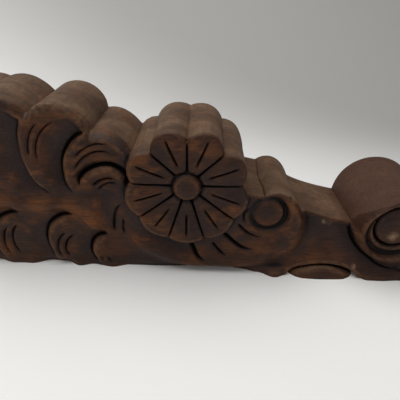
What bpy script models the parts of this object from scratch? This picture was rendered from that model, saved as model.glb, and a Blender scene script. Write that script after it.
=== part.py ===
"""Carved wooden corbel bracket: one block with a leaf, a flower, a C scroll and an end volute.

The block lies on its long flat face, which is the one that goes against the wall or the beam.
X runs along the block towards the volute, Z is up from that face, and the show face looks along -Y.
Drawing sizes are in millimetres. x is measured from the flower's centre, z from the flat face,
and depths are measured back from the foremost plane of each face.
"""

from math import atan2, cos, degrees, hypot, radians, sin

import bpy
import numpy as np
from mathutils import Vector
from mathutils.geometry import delaunay_2d_cdt

MM = 0.001

# The block
THICKNESS = 89.0
LEFT_END = -186.5
FOOT_END = 186.5

# The flower: nine petals round a boss, slightly wider below than above
FLOWER_Z = 83.5
FLOWER_RADIUS = 49.0
FLOWER_DROP = 0.7
PETALS = 9
PETAL_SKEW = 5.5
NOTCH_RADIUS = 43.3
NOTCH_DROP = 4.8
BACK_RADIUS = 45.7
BACK_LEAN = 1.0
BACK_WIDEN = 5.0
BACK_NOTCH = 4.0
BACK_SPREAD = 2.5
PETAL_BULGE = 0.85
BOSS_RADIUS = 11.5
BOSS_RING = 2.8
BOSS_CUT = 1.8
PETAL_DISH = 4.0
PETAL_CROWN = 1.7
PETAL_ROUND = 1.6
DIVIDE_WIDTH = 2.0
DIVIDE_DEPTH = 2.2
MIDRIB_WIDTH = 2.3
MIDRIB_DEPTH = 2.4
MIDRIB_FROM = 18.0
MIDRIB_LATE = 4.5
MIDRIB_TO = 44.5

# The end volute
VOLUTE_X = 180.0
VOLUTE_Z = 40.0
VOLUTE_RADIUS = 39.3
EYE_X = 171.5
EYE_Z = 52.0
EYE_RADIUS = 18.0
EYE_RISE = 4.5
EYE_GROOVE = 7.5
EYE_CUT_WIDTH = 3.0
EYE_CUT_DEPTH = 2.4
EYE_VALLEY = ((0.0, 7.5), (0.25, 4.8), (0.62, 7.6), (1.0, 1.0))
RING_RADIUS = 31.0
RIM_LAND = 2.5
RING_START = 22.0
RING_DEPTH = 1.0
RIM_GROOVE_WIDTH = 2.4
RIM_GROOVE_DEPTH = 1.2
# Depth of the volute's rim at angles in degrees round it, and how far its ring reaches from its centre
RIM_DEPTHS = (
    (0.0, 3.0), (90.0, 1.0), (122.0, 0.4), (130.0, 3.0), (139.0, 5.5), (149.0, 11.2), (160.0, 18.2),
    (170.0, 21.5), (200.0, 14.0), (270.0, 3.5), (330.0, 2.6), (360.0, 3.0),
)
RING_REACH = (
    (0.0, 39.3), (172.0, 39.3), (177.0, 41.5), (189.0, 39.0), (206.0, 35.0), (222.0, 31.5), (270.0, 30.5),
    (300.0, 31.5), (340.0, 39.3), (360.0, 39.3),
)

# The small volute that ends the C scroll
BALL_X = 64.3
BALL_Z = 61.2
BALL_RADIUS = 12.0
BALL_RISE = 6.0
BALL_GROOVE_X = 66.3
BALL_GROOVE_Z = 59.7
BALL_GROOVE_RADIUS = 14.2
BALL_GROOVE_WIDTH = 5.2
BALL_GROOVE_DEPTH = 11.5

# The breadth of a steep side seen from the front
WALL = 1.2

# Depths of the carved levels
LEAF_DEPTH = 12.0
BAND_RAISE = 2.6
UPPER_BAND = 15.0
CURL_BAND = 7.0
LOWER_BAND = 10.0
STEM_DEPTH = 9.0
STEM_EDGE = 7.0
LEAF_HOLLOW = 18.0
LOWER_HOLLOW = 15.5
NECK_DEPTH = 15.0
NECK_REACH = 14.0
GROUND_DEPTH = 10.5
SCROLL_DEPTH = 4.5
VEIN_WIDTH = 2.4
VEIN_DEPTH = 2.2
UNDERCUT_WIDTH = 2.6
UNDERCUT_DEPTH = 2.0
TOP_ROUND = 8.0
TOP_KEEP = 5.0
SADDLE_CURVE = 1.5
SADDLE_FROM = 76.0
SADDLE_TO = 108.0

# Lobes of the top outline: centre x and z, half width and height of each arc
LOBES = {
    "end": (-169.0, 80.0, 44.0, 70.0),
    "leaf_a": (-147.0, 77.5, 45.0, 72.0),
    "leaf_b": (-99.4, 120.5, 25.2, 24.4),
    "leaf_c": (-69.3, 48.9, 40.6, 73.6),
    "bump": (73.0, 34.3, 25.8, 44.2),
}
RIM_RIGHT = -7.5
LEDGE_BEND = (55.0, 76.2)
CRACK_X = 62.2
SADDLE = ((94.5, 58.8), (111.0, 50.8), (141.2, 45.3))

# Edges of the leaf lobes from root to tip, the hollow on the left of each, its width at both ends
UPPER_EDGES = (
    (((-150.5, 72.0), (-170.0, 90.0), (-178.0, 108.0), (-179.0, 128.0), (-171.0, 148.0)), 4.0, 14.0),
    (((-106.5, 69.0), (-121.0, 82.0), (-127.3, 102.0), (-127.0, 121.0), (-120.5, 138.0)), 7.0, 48.0),
    (((-89.0, 69.5), (-96.0, 82.0), (-95.5, 101.0), (-87.0, 115.5), (-74.0, 124.0)), 8.0, 30.0),
    (((-84.5, 76.0), (-83.0, 86.0), (-73.0, 93.5), (-60.0, 95.5), (-49.5, 88.0), (-51.0, 78.5)), 8.0, 7.0),
)
LOWER_EDGES = (
    (((-155.0, -2.0), (-162.0, 12.0), (-167.0, 26.0), (-162.0, 40.0), (-151.0, 49.0), (-136.0, 52.0)),
     20.0, 12.0),
    (((-110.5, -2.0), (-115.8, 12.0), (-118.7, 26.0), (-115.5, 40.0), (-105.0, 49.0), (-91.5, 51.0)),
     27.0, 10.0),
    (((-73.5, -3.0), (-78.5, 7.0), (-81.7, 16.0), (-79.0, 26.0), (-73.0, 31.0), (-64.5, 32.0)), 20.0, 8.0),
)
HOOK_LINE = ((-60.0, 33.0), (-61.7, 42.0), (-59.8, 54.0), (-55.5, 61.0), (-51.5, 60.5), (-52.0, 56.5))
STEM_LOW = ((-190.0, 53.0), (-136.0, 52.0), (-91.5, 51.0), (-80.0, 36.0), (-64.5, 32.0))
STEM_HIGH = ((-190.0, 73.0), (-150.0, 70.0), (-106.0, 68.5), (-89.0, 69.5), (-72.5, 75.0))
STEM_REACH = -62.0
NECK = ((-61.0, 77.0), (-65.0, 66.0), (-65.5, 54.0), (-63.0, 43.0), (-60.5, 34.0))

VEINS = (
    ((-160.5, 100.0), (-168.0, 112.0), (-168.5, 126.0), (-162.0, 139.0)),
    ((-155.0, 104.0), (-161.0, 114.0), (-161.0, 126.0), (-154.0, 137.0)),
    ((-120.5, 101.5), (-120.0, 114.0), (-115.5, 125.0), (-108.0, 132.5)),
    ((-114.0, 97.0), (-115.3, 108.0), (-111.5, 120.0), (-103.5, 128.5), (-94.0, 132.5)),
    ((-88.0, 101.5), (-80.5, 109.5), (-69.5, 114.2), (-55.5, 113.0)),
    ((-88.8, 90.5), (-83.5, 100.0), (-74.5, 106.8), (-64.0, 108.3), (-53.0, 106.0)),
    ((-76.5, 77.5), (-70.0, 83.5), (-62.0, 86.0), (-54.0, 85.0)),
    ((-72.5, 74.0), (-67.0, 79.8), (-60.0, 82.0), (-53.0, 81.0)),
    ((-151.0, 9.0), (-156.0, 17.0), (-156.5, 28.0), (-153.0, 36.5), (-146.0, 41.5)),
    ((-143.0, 8.5), (-148.5, 17.0), (-149.5, 28.0), (-146.0, 37.0), (-138.0, 44.5)),
    ((-107.0, 8.0), (-110.8, 16.0), (-110.3, 24.0), (-107.0, 30.5), (-100.0, 35.0)),
    ((-101.0, 6.5), (-104.8, 14.5), (-104.3, 22.0), (-100.0, 29.0), (-92.0, 33.5)),
    ((-72.3, 5.5), (-74.0, 9.0), (-73.5, 12.5)),
    ((-63.5, 2.5), (-67.5, 6.5), (-69.5, 11.0)),
    ((-52.3, 33.5), (-53.8, 41.0), (-52.2, 51.0)),
)

# The C scroll: its crest, then the cuts between the fingers that fill it, with their widths
SCROLL_CREST = (
    (-54.0, 28.0), (-36.0, 26.5), (-19.0, 18.6), (-5.0, 13.0), (12.0, 8.9), (31.8, 8.6), (46.4, 10.8),
    (57.2, 14.9), (67.5, 20.8), (77.6, 28.6), (85.3, 38.0), (89.3, 49.0), (89.3, 59.0), (85.0, 69.0),
)
SCROLL_INSIDE = 15.0
SCROLL_OUTSIDE = 13.0
SCROLL_SPREAD = 7.0
SCROLL_FLOOR = 7.6
SCROLL_FADE = 0.2
SCROLL_TIP = 0.4
FINGER_CUTS = (
    (((52.0, 64.5), (47.3, 60.0), (46.8, 53.0), (53.0, 46.2)), 2.2),
    (((41.6, 50.5), (43.6, 48.0), (48.5, 42.6), (56.8, 37.8), (69.9, 35.6)), 2.6),
    (((30.5, 41.5), (33.2, 37.9), (40.9, 30.3), (49.9, 24.8), (63.8, 24.4)), 5.0),
    (((21.3, 31.5), (22.8, 28.8), (26.7, 23.6), (31.3, 19.2), (38.5, 15.6)), 3.0),
    (((3.2, 30.0), (5.5, 24.7), (8.6, 17.6), (13.1, 13.2), (22.1, 9.6)), 5.2),
)
FINGER_STEEP = 0.8
FINGER_ROUND = 6.0
FINGER_SINK = 1.3

# The arch under the saddle and the pellet in it
ARCH_LEFT = 86.5
ARCH_RIGHT = 149.0
ARCH_HEIGHT = 12.0
ARCH_CUT = 15.0
ARCH_GROOVE = 2.2
PELLET_EDGE = 7.0
PELLET_DEPTH = 0.3
LEG_ROUND = 4.0
LEG_WIDTH = 8.5
LEG_HEIGHT = 9.0

# Depth of the block's front edge along the foot, and along the top
FOOT_DEPTHS = (
    (-186.0, 18.5), (-170.0, 17.5), (-153.0, 12.5), (-137.0, 12.5), (-120.0, 18.0), (-108.0, 17.0),
    (-94.0, 10.4), (-83.0, 13.5), (-65.0, 10.0), (-51.0, 13.8), (-20.0, 13.5), (12.0, 15.5), (33.0, 16.5),
    (48.0, 12.5), (62.0, 8.0), (77.0, 1.2), (157.0, 0.2), (166.0, 0.0), (186.0, 1.0),
)
FOOT_RISE = 9.0
ARRIS_DEPTHS = (
    (-186.0, 17.0), (-160.0, 16.0), (-130.0, 14.0), (-122.0, 18.0), (-108.0, 14.0), (-84.0, 14.5),
    (-75.0, 21.0), (-50.0, 22.0), (56.0, 26.0), (66.0, 13.0), (74.0, 8.0), (84.0, 10.0), (97.0, 21.0),
    (145.0, 21.0),
)

# How far out from a dome's middle a ring of corners is set, as a share of its radius
DOME_RING = 0.65

# The rear face: its levels, its edge along the top, and all its depths against the front's
BACK_LEVEL = 0.65
BACK_ARRIS = 0.35
BACK_SHARE = 0.35

# How finely the solid is cut into faces
GRID = 5.4
STEP_ALONG = 4.2
FRONT_STEP = 3.4
BACK_GRID = 9.0
BACK_STEP = 6.5


def smooth(value):
    """0 below 0, 1 above 1, and an S curve between."""
    t = np.clip(value, 0.0, 1.0)
    return t * t * (3.0 - 2.0 * t)


def eased(x, knots):
    """A value along the block that eases from each knot to the next."""
    at, value = (np.array(column) for column in zip(*knots))
    k = np.clip(np.searchsorted(at, x) - 1, 0, len(at) - 2)
    return value[k] + (value[k + 1] - value[k]) * smooth((x - at[k]) / (at[k + 1] - at[k]))


def curve(points, step):
    """Points about a step apart on the smooth curve through a few chosen ones."""
    p = np.array(points, float)
    ends = np.vstack((2 * p[0] - p[1], p, 2 * p[-1] - p[-2]))
    out = []
    for a, b, c, d in zip(ends, ends[1:], ends[2:], ends[3:]):
        count = max(1, round(float(np.linalg.norm(c - b)) / step))
        for t in np.arange(count) / count:
            out.append(
                0.5 * (2 * b + (c - a) * t + (2 * a - 5 * b + 4 * c - d) * t**2
                       + (3 * b - a - 3 * c + d) * t**3)
            )
    out.append(p[-1])
    return np.array(out)


def to_curve(points, line, reach=np.inf):
    """Distance from each point to a line, its share of the way along, and the side: left is positive.

    Points well out of reach of the line count as infinitely far from it.
    """
    low, high = line.min(axis=0) - reach, line.max(axis=0) + reach
    close = np.all((points >= low) & (points <= high), axis=1)
    p = points[close]
    best = np.full(len(p), np.inf)
    share = np.zeros(len(p))
    side = np.zeros(len(p))
    runs = np.linalg.norm(np.diff(line, axis=0), axis=1)
    total = runs.sum()
    gone = 0.0
    for a, b, run in zip(line, line[1:], runs):
        u = (b - a) / run
        v = p - a
        t = np.clip(v @ u, 0.0, run)
        off = v - t[:, None] * u
        dist = np.hypot(off[:, 0], off[:, 1])
        near = dist < best
        best = np.where(near, dist, best)
        share = np.where(near, (gone + t) / total, share)
        side = np.where(near, u[0] * v[:, 1] - u[1] * v[:, 0], side)
        gone += run
    out = np.full(len(points), np.inf), np.zeros(len(points)), np.ones(len(points))
    for whole, found in zip(out, (best, share, np.where(side >= 0, 1.0, -1.0))):
        whole[close] = found
    return out


def taper(share, start=0.22, end=0.22):
    """1 along the middle of a stroke, falling to 0 at each end."""
    return smooth(share / start) * smooth((1.0 - share) / end)


def v_cut(depth, p, line, width, deep, start=0.3, end=0.3):
    """Cuts a V with rounded shoulders along a line, its ends drawn out to a point."""
    dist, share, _ = to_curve(p, line, width)
    return depth + deep * taper(share, start, end) * np.clip(1.0 - dist / width, 0.0, 1.0) ** 2


def hollow_beside(depth, p, line, floor, width_start, width_end, kept):
    """Sinks the left side of a line to a floor that rises to a crest one width away, where kept allows."""
    dist, share, side = to_curve(p, line, max(width_start, width_end))
    width = width_start + (width_end - width_start) * share
    bowl = 1.0 - smooth(dist / width)
    weight = np.where(side > 0, smooth(dist / WALL) * bowl * kept, 0.0) * taper(share, 0.25, 0.15)
    return depth + (np.maximum(floor, depth) - depth) * weight


def band_beside(depth, p, line, width, start=0.2, end=0.2):
    """Raises the right side of a line into a band, rounded over at the line."""
    dist, share, side = to_curve(p, line, 1.5 * width)
    crown = smooth(dist / 3.0) * smooth((1.5 * width - dist) / width)
    return depth - np.where(side < 0, BAND_RAISE * crown, 0.0) * taper(share, start, end)


def lobe_top(name, x):
    """Height of one lobe's arc at x, far down outside it."""
    cx, cz, half, rise = LOBES[name]
    inside = 1.0 - ((np.asarray(x, float) - cx) / half) ** 2
    return np.where(inside > 0, cz + rise * np.sqrt(np.maximum(inside, 0.0)), -1.0)


def meeting(first, second, low, high):
    """The x at which one lobe's arc takes over from the next."""
    for _ in range(40):
        middle = 0.5 * (low + high)
        if lobe_top(first, middle) > lobe_top(second, middle):
            low = middle
        else:
            high = middle
    return 0.5 * (low + high)


def notch_angles():
    """Angles of the cuts between petals, from the one straight up and clockwise."""
    turn = 360.0 / PETALS
    return [90.0 - turn * k - PETAL_SKEW * sin(radians(turn * k)) for k in range(PETALS)]


def petal_place(angle):
    """For angles in degrees: 0 to 1 across the petal, and the angle at its middle."""
    cuts = np.array(notch_angles() + [90.0 - 360.0])
    a = np.asarray(angle, float)
    a = 90.0 - np.mod(90.0 - a, 360.0)
    index = np.clip(np.searchsorted(-cuts, -a, side="right") - 1, 0, PETALS - 1)
    left, right = cuts[index], cuts[index + 1]
    return (left - a) / (left - right), 0.5 * (left + right)


def flower_radius(angle, back=False):
    """Radius of the flower's scalloped rim at an angle."""
    across, _ = petal_place(angle)
    bulge = np.sin(np.pi * np.clip(across, 0.0, 1.0)) ** PETAL_BULGE
    rad = np.radians(angle)
    if back:
        tip = BACK_RADIUS + BACK_WIDEN * np.abs(np.cos(rad)) ** 3 - BACK_LEAN * np.cos(rad)
        notch = (BACK_NOTCH + BACK_SPREAD * np.abs(np.cos(rad))) * (1.0 - np.cos(rad) ** 6)
        return tip - notch * (1.0 - bulge)
    tip = FLOWER_RADIUS - FLOWER_DROP * np.sin(rad)
    notch = NOTCH_RADIUS - NOTCH_DROP * np.sin(rad)
    return notch + (tip - notch) * bulge


def flower_point(angle, back=False):
    r = float(flower_radius(angle, back))
    return r * cos(radians(angle)), FLOWER_Z + r * sin(radians(angle))


def flower_meets_leaf(back):
    """The angle at which the rim dips under the third leaf lobe's outline."""
    low, high = 140.0, 172.0
    for _ in range(40):
        middle = 0.5 * (low + high)
        x, z = flower_point(middle, back)
        if z > lobe_top("leaf_c", x):
            low = middle
        else:
            high = middle
    return 0.5 * (low + high)


def bend(start, middle, end, count):
    """Points on one quadratic curve, its start left out."""
    a, b, c = (np.array(q, float) for q in (start, middle, end))
    turn = np.arange(1, count + 1) / count
    return [tuple((1 - t) ** 2 * a + 2 * t * (1 - t) * b + t * t * c) for t in turn]


def pieces(length, step):
    return max(2, round(length / step))


def volute_arc(step):
    """The end volute's rim from the foot round to the saddle, drawn in to meet the foot."""
    start = degrees(atan2(-VOLUTE_Z, FOOT_END - VOLUTE_X))
    end = degrees(atan2(SADDLE[2][1] - VOLUTE_Z, SADDLE[2][0] - VOLUTE_X))
    foot = hypot(VOLUTE_Z, FOOT_END - VOLUTE_X)
    count = pieces(VOLUTE_RADIUS * radians(end - start), step)
    out = []
    for k in range(count + 1):
        a = start + (end - start) * k / count
        r = VOLUTE_RADIUS + (foot - VOLUTE_RADIUS) * float(1.0 - smooth((a - start) / 40.0))
        out.append((VOLUTE_X + r * cos(radians(a)), VOLUTE_Z + r * sin(radians(a))))
    return out[:-1] + [SADDLE[2]]


def lobe_arc(name, high, low, step, span=None):
    """Points along a lobe's arc from its right end to its left one, the first left out."""
    count = pieces(span or high - low, step)
    turn = np.arange(1, count + 1) / count
    return [(x, float(lobe_top(name, x))) for x in high + (low - high) * turn]


def outline(back, step):
    """The block's outline from the foot's right end over the top to the left end."""
    out = volute_arc(step)
    out += bend(SADDLE[2], SADDLE[1], SADDLE[0], pieces(SADDLE[2][0] - SADDLE[0][0], step))
    out += lobe_arc("bump", SADDLE[0][0], CRACK_X, step)
    rim = flower_point(RIM_RIGHT, back)
    ledge = bend(out[-1], LEDGE_BEND, rim, pieces(CRACK_X - FLOWER_RADIUS, step))
    near = (rim[0] + WALL, ledge[-2][1] + (rim[1] - ledge[-2][1]) * 0.8)
    out += ledge[:-1] + [near, rim]
    cuts = notch_angles()
    meet = flower_meets_leaf(back)
    stops = [RIM_RIGHT, cuts[2], cuts[1], cuts[0], cuts[-1] + 360.0, meet]
    fixed = [RIM_RIGHT, cuts[2], cuts[1], cuts[0], cuts[-1] + 360.0, flower_meets_leaf(False)]
    for a, b, first, last in zip(stops, stops[1:], fixed, fixed[1:]):
        per = pieces(FLOWER_RADIUS * radians(last - first), step) if abs(last - first) > 30 else 3
        out += [flower_point(a + (b - a) * k / per, back) for k in range(1, per + 1)]
    joins = [out[-1][0] - WALL, meeting("leaf_b", "leaf_c", -90.0, -60.0)]
    joins += [meeting("leaf_a", "leaf_b", -149.0, -100.0), meeting("end", "leaf_a", -172.0, -149.0), LEFT_END]
    out.append((joins[0], float(lobe_top("leaf_c", joins[0]))))
    for name, high, low in zip(("leaf_c", "leaf_b", "leaf_a", "end"), joins, joins[1:]):
        out += lobe_arc(name, high, low, step, LOBES["leaf_c"][2] * 0.8 if name == "leaf_c" else None)
    return out


def loop(back, step):
    """The whole closed outline: underside, the carved run, and the square left end."""
    rim = outline(back, step)
    count = pieces(FOOT_END - LEFT_END, step)
    under = [(LEFT_END + (FOOT_END - LEFT_END) * (k + 0.0) / count, 0.0) for k in range(count)]
    rise = rim[-1][1]
    count = pieces(rise, 2 * step)
    end = [(LEFT_END, rise * (1.0 - k / count)) for k in range(1, count)]
    return np.array(under + rim + end)


def top_height(x, back):
    """Height of the outline above any x between the left end and the volute's top."""
    rim = np.array(outline(back, STEP_ALONG))
    rim = rim[rim[:, 0] <= VOLUTE_X]
    order = np.argsort(rim[:, 0])
    return np.interp(x, rim[order, 0], rim[order, 1])


def base_depth(p, top, back):
    """The block's face before carving: flat in the middle, hollowed under the saddle, eased at the top."""
    x, z = p[:, 0], p[:, 1]
    d = LEAF_DEPTH + (GROUND_DEPTH - LEAF_DEPTH) * smooth((x + 50.0) / 20.0)
    foot, arris = eased(x, FOOT_DEPTHS), eased(x, ARRIS_DEPTHS)
    if back:
        d, arris = BACK_LEVEL * d, BACK_ARRIS * arris
    crown = np.minimum(top, np.interp(x, *zip(*SADDLE)))
    saddle = foot + (arris - foot) * (1.0 - np.clip(1.0 - z / crown, 0.0, 1.0) ** SADDLE_CURVE)
    d = d + (saddle - d) * smooth((x - SADDLE_FROM) / (SADDLE_TO - SADDLE_FROM))
    ease = np.clip(1.0 - (top - z) / TOP_ROUND, 0.0, 1.0) ** 2
    return d + (np.maximum(d, arris) - d) * ease


def carve_foot(d, p):
    """Draws the face back or out to the foot's front edge, and rounds the legs beside the arch."""
    x, z = p[:, 0], p[:, 1]
    d = d + (eased(x, FOOT_DEPTHS) - d) * (1.0 - smooth(z / FOOT_RISE))
    legs = smooth((x - ARCH_LEFT + LEG_WIDTH) / LEG_WIDTH) * smooth((ARCH_RIGHT + LEG_WIDTH - x) / LEG_WIDTH)
    return d + LEG_ROUND * legs * np.clip(1.0 - z / LEG_HEIGHT, 0.0, 1.0) ** 2


def carve_leaf(d, p, top, fine):
    """The stem, the lobes that lap over each other on both sides of it, and their veins."""
    x, z = p[:, 0], p[:, 1]
    low = np.interp(x, *zip(*STEM_LOW))
    high = np.interp(x, *zip(*STEM_HIGH))
    stem = smooth((z - low) / STEM_EDGE) * smooth((high - z) / STEM_EDGE)
    stem = stem * smooth((STEM_REACH - x) / STEM_EDGE)
    d = d + (STEM_DEPTH - d) * stem
    dist, share, _ = to_curve(p, curve(NECK, 3.0), NECK_REACH)
    d = d + (NECK_DEPTH - d) * smooth(1.0 - dist / NECK_REACH) * taper(share, 0.15, 0.25)
    kept = smooth((top - z - TOP_KEEP) / TOP_ROUND)
    bands = [UPPER_BAND] * (len(UPPER_EDGES) - 1) + [CURL_BAND]
    edges = [(e, a, b, LEAF_HOLLOW, band) for (e, a, b), band in zip(UPPER_EDGES, bands)]
    edges += [(e, a, b, LOWER_HOLLOW, LOWER_BAND) for e, a, b in LOWER_EDGES]
    for points, first, last, floor, band in edges:
        line = curve(points, 3.0)
        d = band_beside(d, p, line, band)
        d = hollow_beside(d, p, line, floor, first, last, kept)
        if fine:
            d = v_cut(d, p, beside(line, WALL), UNDERCUT_WIDTH, UNDERCUT_DEPTH)
    if fine:
        for points in VEINS + (HOOK_LINE,):
            d = v_cut(d, p, curve(points, 3.0), VEIN_WIDTH, VEIN_DEPTH, 0.2)
    return d


def carve_scroll(d, p, top, fine):
    """The C scroll's raised ribbon, the fingers inside it, and the ball that it curls round."""
    dist, share, side = to_curve(p, curve(SCROLL_CREST, 3.0))
    floor = SCROLL_FLOOR + (GROUND_DEPTH - SCROLL_FLOOR) * (1.0 - smooth((p[:, 0] + 5.0) / 15.0))
    within = SCROLL_DEPTH + (floor - SCROLL_DEPTH) * smooth(dist / SCROLL_INSIDE)
    within = np.where(p[:, 0] > -50.0, np.minimum(within, d), d)
    reach = SCROLL_OUTSIDE + SCROLL_SPREAD * smooth((share - 0.55) / 0.2)
    reach = reach * (SCROLL_TIP + (1.0 - SCROLL_TIP) * smooth((1.0 - share) / SCROLL_FADE))
    crest = 1.0 - smooth(dist / reach)
    beyond = d + (np.minimum(SCROLL_DEPTH, d) - d) * crest
    d = d + (np.where(side > 0, within, beyond) - d) * smooth(share / 0.12)
    if fine:
        for points, width in FINGER_CUTS:
            line = curve(points, 3.0)
            d = v_cut(d, p, line, FINGER_ROUND, FINGER_SINK, 0.12, 0.6)
            d = v_cut(d, p, line, 0.7 * width, FINGER_STEEP * width, 0.12, 0.6)
    ring = np.hypot(p[:, 0] - BALL_GROOVE_X, p[:, 1] - BALL_GROOVE_Z) - BALL_GROOVE_RADIUS
    lean = (p[:, 0] - BALL_X - p[:, 1] + BALL_Z) / BALL_GROOVE_RADIUS
    cut = np.exp(-((2.0 * ring / BALL_GROOVE_WIDTH) ** 2)) * smooth((top - p[:, 1]) / 3.0)
    cut = cut * (0.55 + 0.45 * smooth(0.5 * lean + 0.75))
    d = d + (np.maximum(BALL_GROOVE_DEPTH, d) - d) * cut
    r = np.hypot(p[:, 0] - BALL_X, p[:, 1] - BALL_Z) / BALL_RADIUS
    dome = BALL_GROOVE_DEPTH - BALL_RISE * np.clip(1.0 - r**2, 0.0, 1.0) ** 0.7
    return np.where(r < 1.0, np.minimum(d, dome), d)


def carve_arch(d, p):
    """The arch cut under the saddle, with a rounded pellet left standing in it."""
    x, z = p[:, 0], p[:, 1]
    across = (2.0 * x - ARCH_LEFT - ARCH_RIGHT) / (ARCH_RIGHT - ARCH_LEFT)
    below = ARCH_HEIGHT * np.sqrt(np.clip(1.0 - across**2, 0.0, 1.0)) - z
    cut = d + (ARCH_CUT - d) * smooth(below / WALL)
    gap = ARCH_GROOVE * (1.0 + np.abs(across))
    rise = np.clip((below - gap) / (ARCH_HEIGHT - gap), 0.0, 1.0)
    pellet = PELLET_DEPTH + (PELLET_EDGE - PELLET_DEPTH) * (1.0 - rise) ** 1.6 + PELLET_EDGE * across**6
    return np.where(below > 0, cut + (np.minimum(pellet, cut) - cut) * smooth((below - gap) / WALL + 0.5), d)


def volute_limit(x, z):
    """Distance from the volute's centre, the angle round it, and the reach of its ring there."""
    turn = np.mod(np.degrees(np.arctan2(z - VOLUTE_Z, x - VOLUTE_X)), 360.0)
    return np.hypot(x - VOLUTE_X, z - VOLUTE_Z), turn, np.interp(turn, *zip(*RING_REACH))


def ring_radius(angle):
    """Radius of the spiral ring round the eye, at angles in degrees past the one straight up."""
    return RING_START + (RING_RADIUS - RING_START) * smooth((angle - 30.0) / 130.0)


def carve_volute(d, p, back):
    """The end volute: a spiral ring round a domed eye, its rim falling back to the outline."""
    x, z = p[:, 0], p[:, 1]
    far, turn, limit = volute_limit(x, z)
    r = np.hypot(x - EYE_X, z - EYE_Z)
    angle = np.mod(np.degrees(np.arctan2(z - EYE_Z, x - EYE_X)) - 90.0, 360.0)
    ring = np.minimum(ring_radius(angle), r + limit - far - RIM_LAND)
    past = np.maximum(r - ring, 0.0)
    share = past / np.maximum(past + np.maximum(limit - far, 0.0), 0.01)
    rim = np.interp(turn, *zip(*RIM_DEPTHS)) * (BACK_ARRIS if back else 1.0)
    rim = rim + (d - rim) * smooth((turn - 166.0) / 10.0) * smooth((285.0 - turn) / 15.0)
    outer = RING_DEPTH + (rim - RING_DEPTH) * share**1.3
    wall = np.clip((r - EYE_RADIUS) / np.maximum(ring - EYE_RADIUS, 1.0), 0.0, 1.0)
    valley = eased(wall, EYE_VALLEY)
    eye = EYE_GROOVE - EYE_RISE * np.sqrt(np.clip(1.0 - (r / EYE_RADIUS) ** 2, 0.0, 1.0))
    snug = np.clip(1.0 - np.abs(r - EYE_RADIUS) * 2.0 / EYE_CUT_WIDTH, 0.0, 1.0)
    valley, eye = (side + EYE_CUT_DEPTH * snug for side in (valley, eye))
    face = np.where(r > ring, outer, np.where(r > EYE_RADIUS, valley, eye))
    groove = np.clip(1.0 - np.abs(far - limit) * 2.0 / RIM_GROOVE_WIDTH, 0.0, 1.0)
    groove = groove * smooth((turn - 168.0) / 12.0) * smooth((275.0 - turn) / 25.0)
    weight = smooth((limit - far) / WALL + 1.0)
    return np.where(x > 120.0, d + (face - d) * weight + RIM_GROOVE_DEPTH * groove, d)


def carve_flower(d, p, back, fine):
    """Nine dished petals round a boss, standing off the ground like a disc with a scalloped rim."""
    r = np.hypot(p[:, 0], p[:, 1] - FLOWER_Z)
    angle = np.degrees(np.arctan2(p[:, 1] - FLOWER_Z, p[:, 0]))
    across, middle = petal_place(angle)
    rim = flower_radius(angle, back)
    share = np.clip((r - BOSS_RADIUS) / (FLOWER_RADIUS - BOSS_RADIUS), 0.0, 1.0)
    face = 0.4 + PETAL_DISH * (1.0 - smooth(share * 1.3))
    face = face + PETAL_CROWN * (2.0 * across - 1.0) ** 2
    face = face + PETAL_ROUND * np.clip(1.0 - (rim - r) / PETAL_ROUND, 0.0, 1.0) ** 2
    if fine:
        cuts = np.array(notch_angles())
        off = np.abs(np.mod(angle[:, None] - cuts[None, :] + 180.0, 360.0) - 180.0).min(axis=1)
        gap = r * np.sin(np.radians(np.minimum(off, 90.0)))
        face = face + DIVIDE_DEPTH * np.clip(1.0 - 2.0 * gap / DIVIDE_WIDTH, 0.0, 1.0)
        gap = r * np.abs(np.sin(np.radians(angle - middle)))
        start = MIDRIB_FROM + MIDRIB_LATE * smooth(-np.sin(np.radians(middle)))
        along = smooth((r - start) / 3.0) * smooth((MIDRIB_TO - r) / 4.0)
        face = face + MIDRIB_DEPTH * along * np.clip(1.0 - 2.0 * gap / MIDRIB_WIDTH, 0.0, 1.0)
    ring = np.clip(1.0 - np.abs(r - BOSS_RADIUS) / BOSS_RING, 0.0, 1.0)
    boss = 0.4 + PETAL_DISH * (1.0 - np.sqrt(np.clip(1.0 - (r / BOSS_RADIUS) ** 2, 0.0, 1.0)))
    face = np.where(r < BOSS_RADIUS, boss, face) + BOSS_CUT * ring
    return d + (face - d) * (1.0 - smooth((r - rim) / WALL))


def face_depth(p, back, fine):
    """Depth of one carved face at each point of the outline's plane."""
    top = top_height(p[:, 0], back)
    d = base_depth(p, top, back)
    d = carve_leaf(d, p, top, fine)
    d = carve_scroll(d, p, top, fine)
    d = carve_foot(d, p)
    d = carve_arch(d, p)
    d = carve_volute(d, p, back)
    d = carve_flower(d, p, back, fine)
    return np.maximum(d, 0.0)


def beside(line, off):
    """A line moved to its left."""
    way = np.gradient(line, axis=0)
    way /= np.linalg.norm(way, axis=1)[:, None]
    return line + off * np.stack((-way[:, 1], way[:, 0]), 1)


def circle(x, z, radius, start, end, step):
    count = pieces(radius * radians(abs(end - start)), step)
    turn = np.radians(start + (end - start) * np.arange(count + 1) / count)
    return np.stack((x + radius * np.cos(turn), z + radius * np.sin(turn)), 1)


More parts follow.
